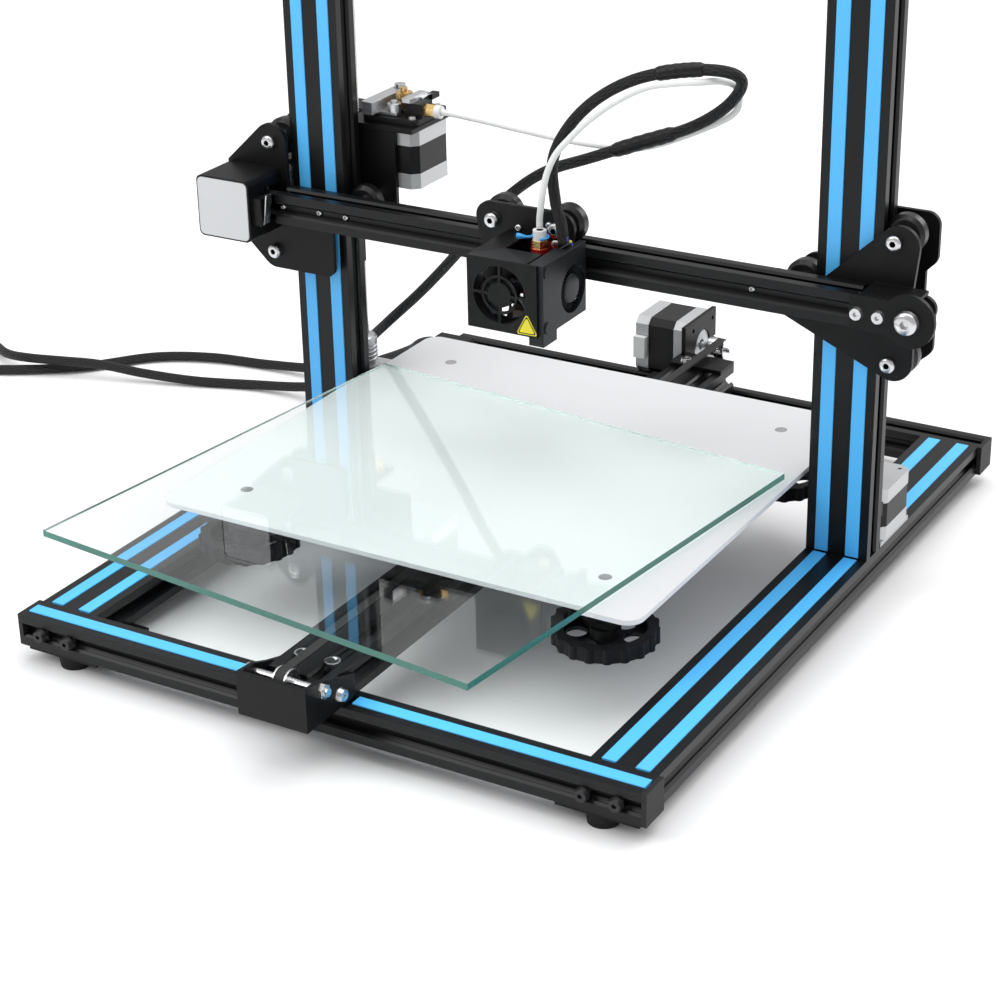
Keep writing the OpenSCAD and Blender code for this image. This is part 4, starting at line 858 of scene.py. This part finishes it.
WHEEL_X, WHEEL_RISE = 0.21545, 0.037
HEAD_LIFT = 0.0029
plate_front = 0.0347 - HEAD_LIFT
RAIL_SCREW_Y = 0.0206
heads("gantry_bolt_heads", [(s * WHEEL_X, plate_front, BEAM_Z + z) for s in (-1, 1)
                            for z in (-WHEEL_RISE, WHEEL_RISE)], "gantry")
heads("carriage_bolt_heads", [(-0.011 + x, 0.0087 - HEAD_LIFT, z) for x, z in
                              ((-0.022, 0.22245), (0.022, 0.22245), (0, 0.18155))], "carriage")
heads("carriage_ring_bolt", [(-0.0153, 0.0086, 0.2196), (0.0059, 0.0086, 0.2242)], "carriage",
      2.4, 1.3, 1.0)
heads("rail_screws", [(-0.1973, RAIL_SCREW_Y, BEAM_Z), (-0.1693, RAIL_SCREW_Y, BEAM_Z),
                      (-0.149, RAIL_SCREW_Y, BEAM_Z), (0.1345, RAIL_SCREW_Y, 0.2022)], "gantry",
      2.3, 1.6, 0.9)
heads("idler_bolt_head", [(X_IDLER, 0.0085, BEAM_Z)], "gantry", 7.0, 2.6, 2.4)
print("heads done")

# %% [markdown]
# Small things on the hot-end carriage: a blue clip under the white collar of the filament fitting,
# a plain yellow triangle on the front, and the thin wires that leave the braided sleeve.

# %% Clip, triangle and wires
CLIP_RADIUS = 0.0052
clip_turn = np.radians(np.linspace(-60, 200, 40))
ring_line = np.stack([0.0055 + CLIP_RADIUS * np.cos(clip_turn),
                      -0.002 + CLIP_RADIUS * np.sin(clip_turn), 0.2205 + 0 * clip_turn], -1)
clip_tail = np.array([[-0.0012, -0.0062, 0.2207], [-0.0042, -0.0080, 0.2212],
                      [-0.0066, -0.0090, 0.2216]])
clip_line = even_path(np.vstack([ring_line, smooth_path(clip_tail, 6)]), 0.0005)[0]
clip_run = np.arange(len(clip_line)) / len(clip_line)
clip_thick = 0.0008 + 0.0009 * np.clip((clip_run - 0.8) * 8, 0, 1)
clip = surface("fitting_clip", sweep(clip_line, clip_thick, 12), sky_clip)
sign_corners = np.array([(17.6, 185.2), (11.3, 173.6), (24.0, 173.9)]) / 1000
sign_middle = sign_corners.mean(0)

def triangle(name, scale, y0, y1, material):
    """Flat three-sided plate with rounded corners between depths y0 and y1."""
    inner = sign_middle + (sign_corners - sign_middle) * (scale * 0.86)
    angle = np.linspace(-60, 60, 7)
    outline = []
    for spot in inner:
        away = math.degrees(math.atan2(*(spot - sign_middle)[::-1]))
        turns = np.radians(away + angle)
        outline.append(spot + 0.0011 * scale * np.stack([np.cos(turns), np.sin(turns)], -1))
    outline = np.vstack(outline)
    rows = [np.stack([outline[:, 0], np.full(len(outline), y), outline[:, 1]], -1)
            for y in (y0, y1)]
    return bunch(name, np.stack([np.stack(rows)]), material)

plates = [triangle("triangle_border", 1.0, -0.0400, -0.0402, sign_yellow),
          triangle("triangle_line", 0.88, -0.0401, -0.04025, moulded),
          triangle("triangle_face", 0.74, -0.0402, -0.0403, sign_yellow)]
wire_ends = [((24, -1, 219), (20, -6, 215)), ((22, -3, 219), (15, -5, 214)),
             ((21, -1, 219), (12.5, 1.5, 214)), ((23, 0, 219), (19, 4.5, 214.5)),
             ((24, -2, 219), (25.5, 3.0, 214.5)), ((21, -3, 219), (17, -7.5, 214)),
             ((22, 0, 219), (16, 3.5, 213.5))]
wires = []
for number, (first, last) in enumerate(wire_ends):
    first, last = np.array(first, float), np.array(last, float)
    bulge = (first + last) / 2 + [3.5 * math.cos(number * 2.1), 3.0 * math.sin(number * 2.1), 2.6]
    line = even_path(smooth_path([first + [0, 0, 4], first, bulge, last, last - [0, 0, 3]], 8) / 1000,
                     0.0008)[0]
    wires.append(surface("wire_%d" % number, sweep(line, 0.00065, 8), wire_tones[number % 5]))
for made in [clip, *plates, *wires]:
    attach(made, "carriage")
print("wires", len(wires))
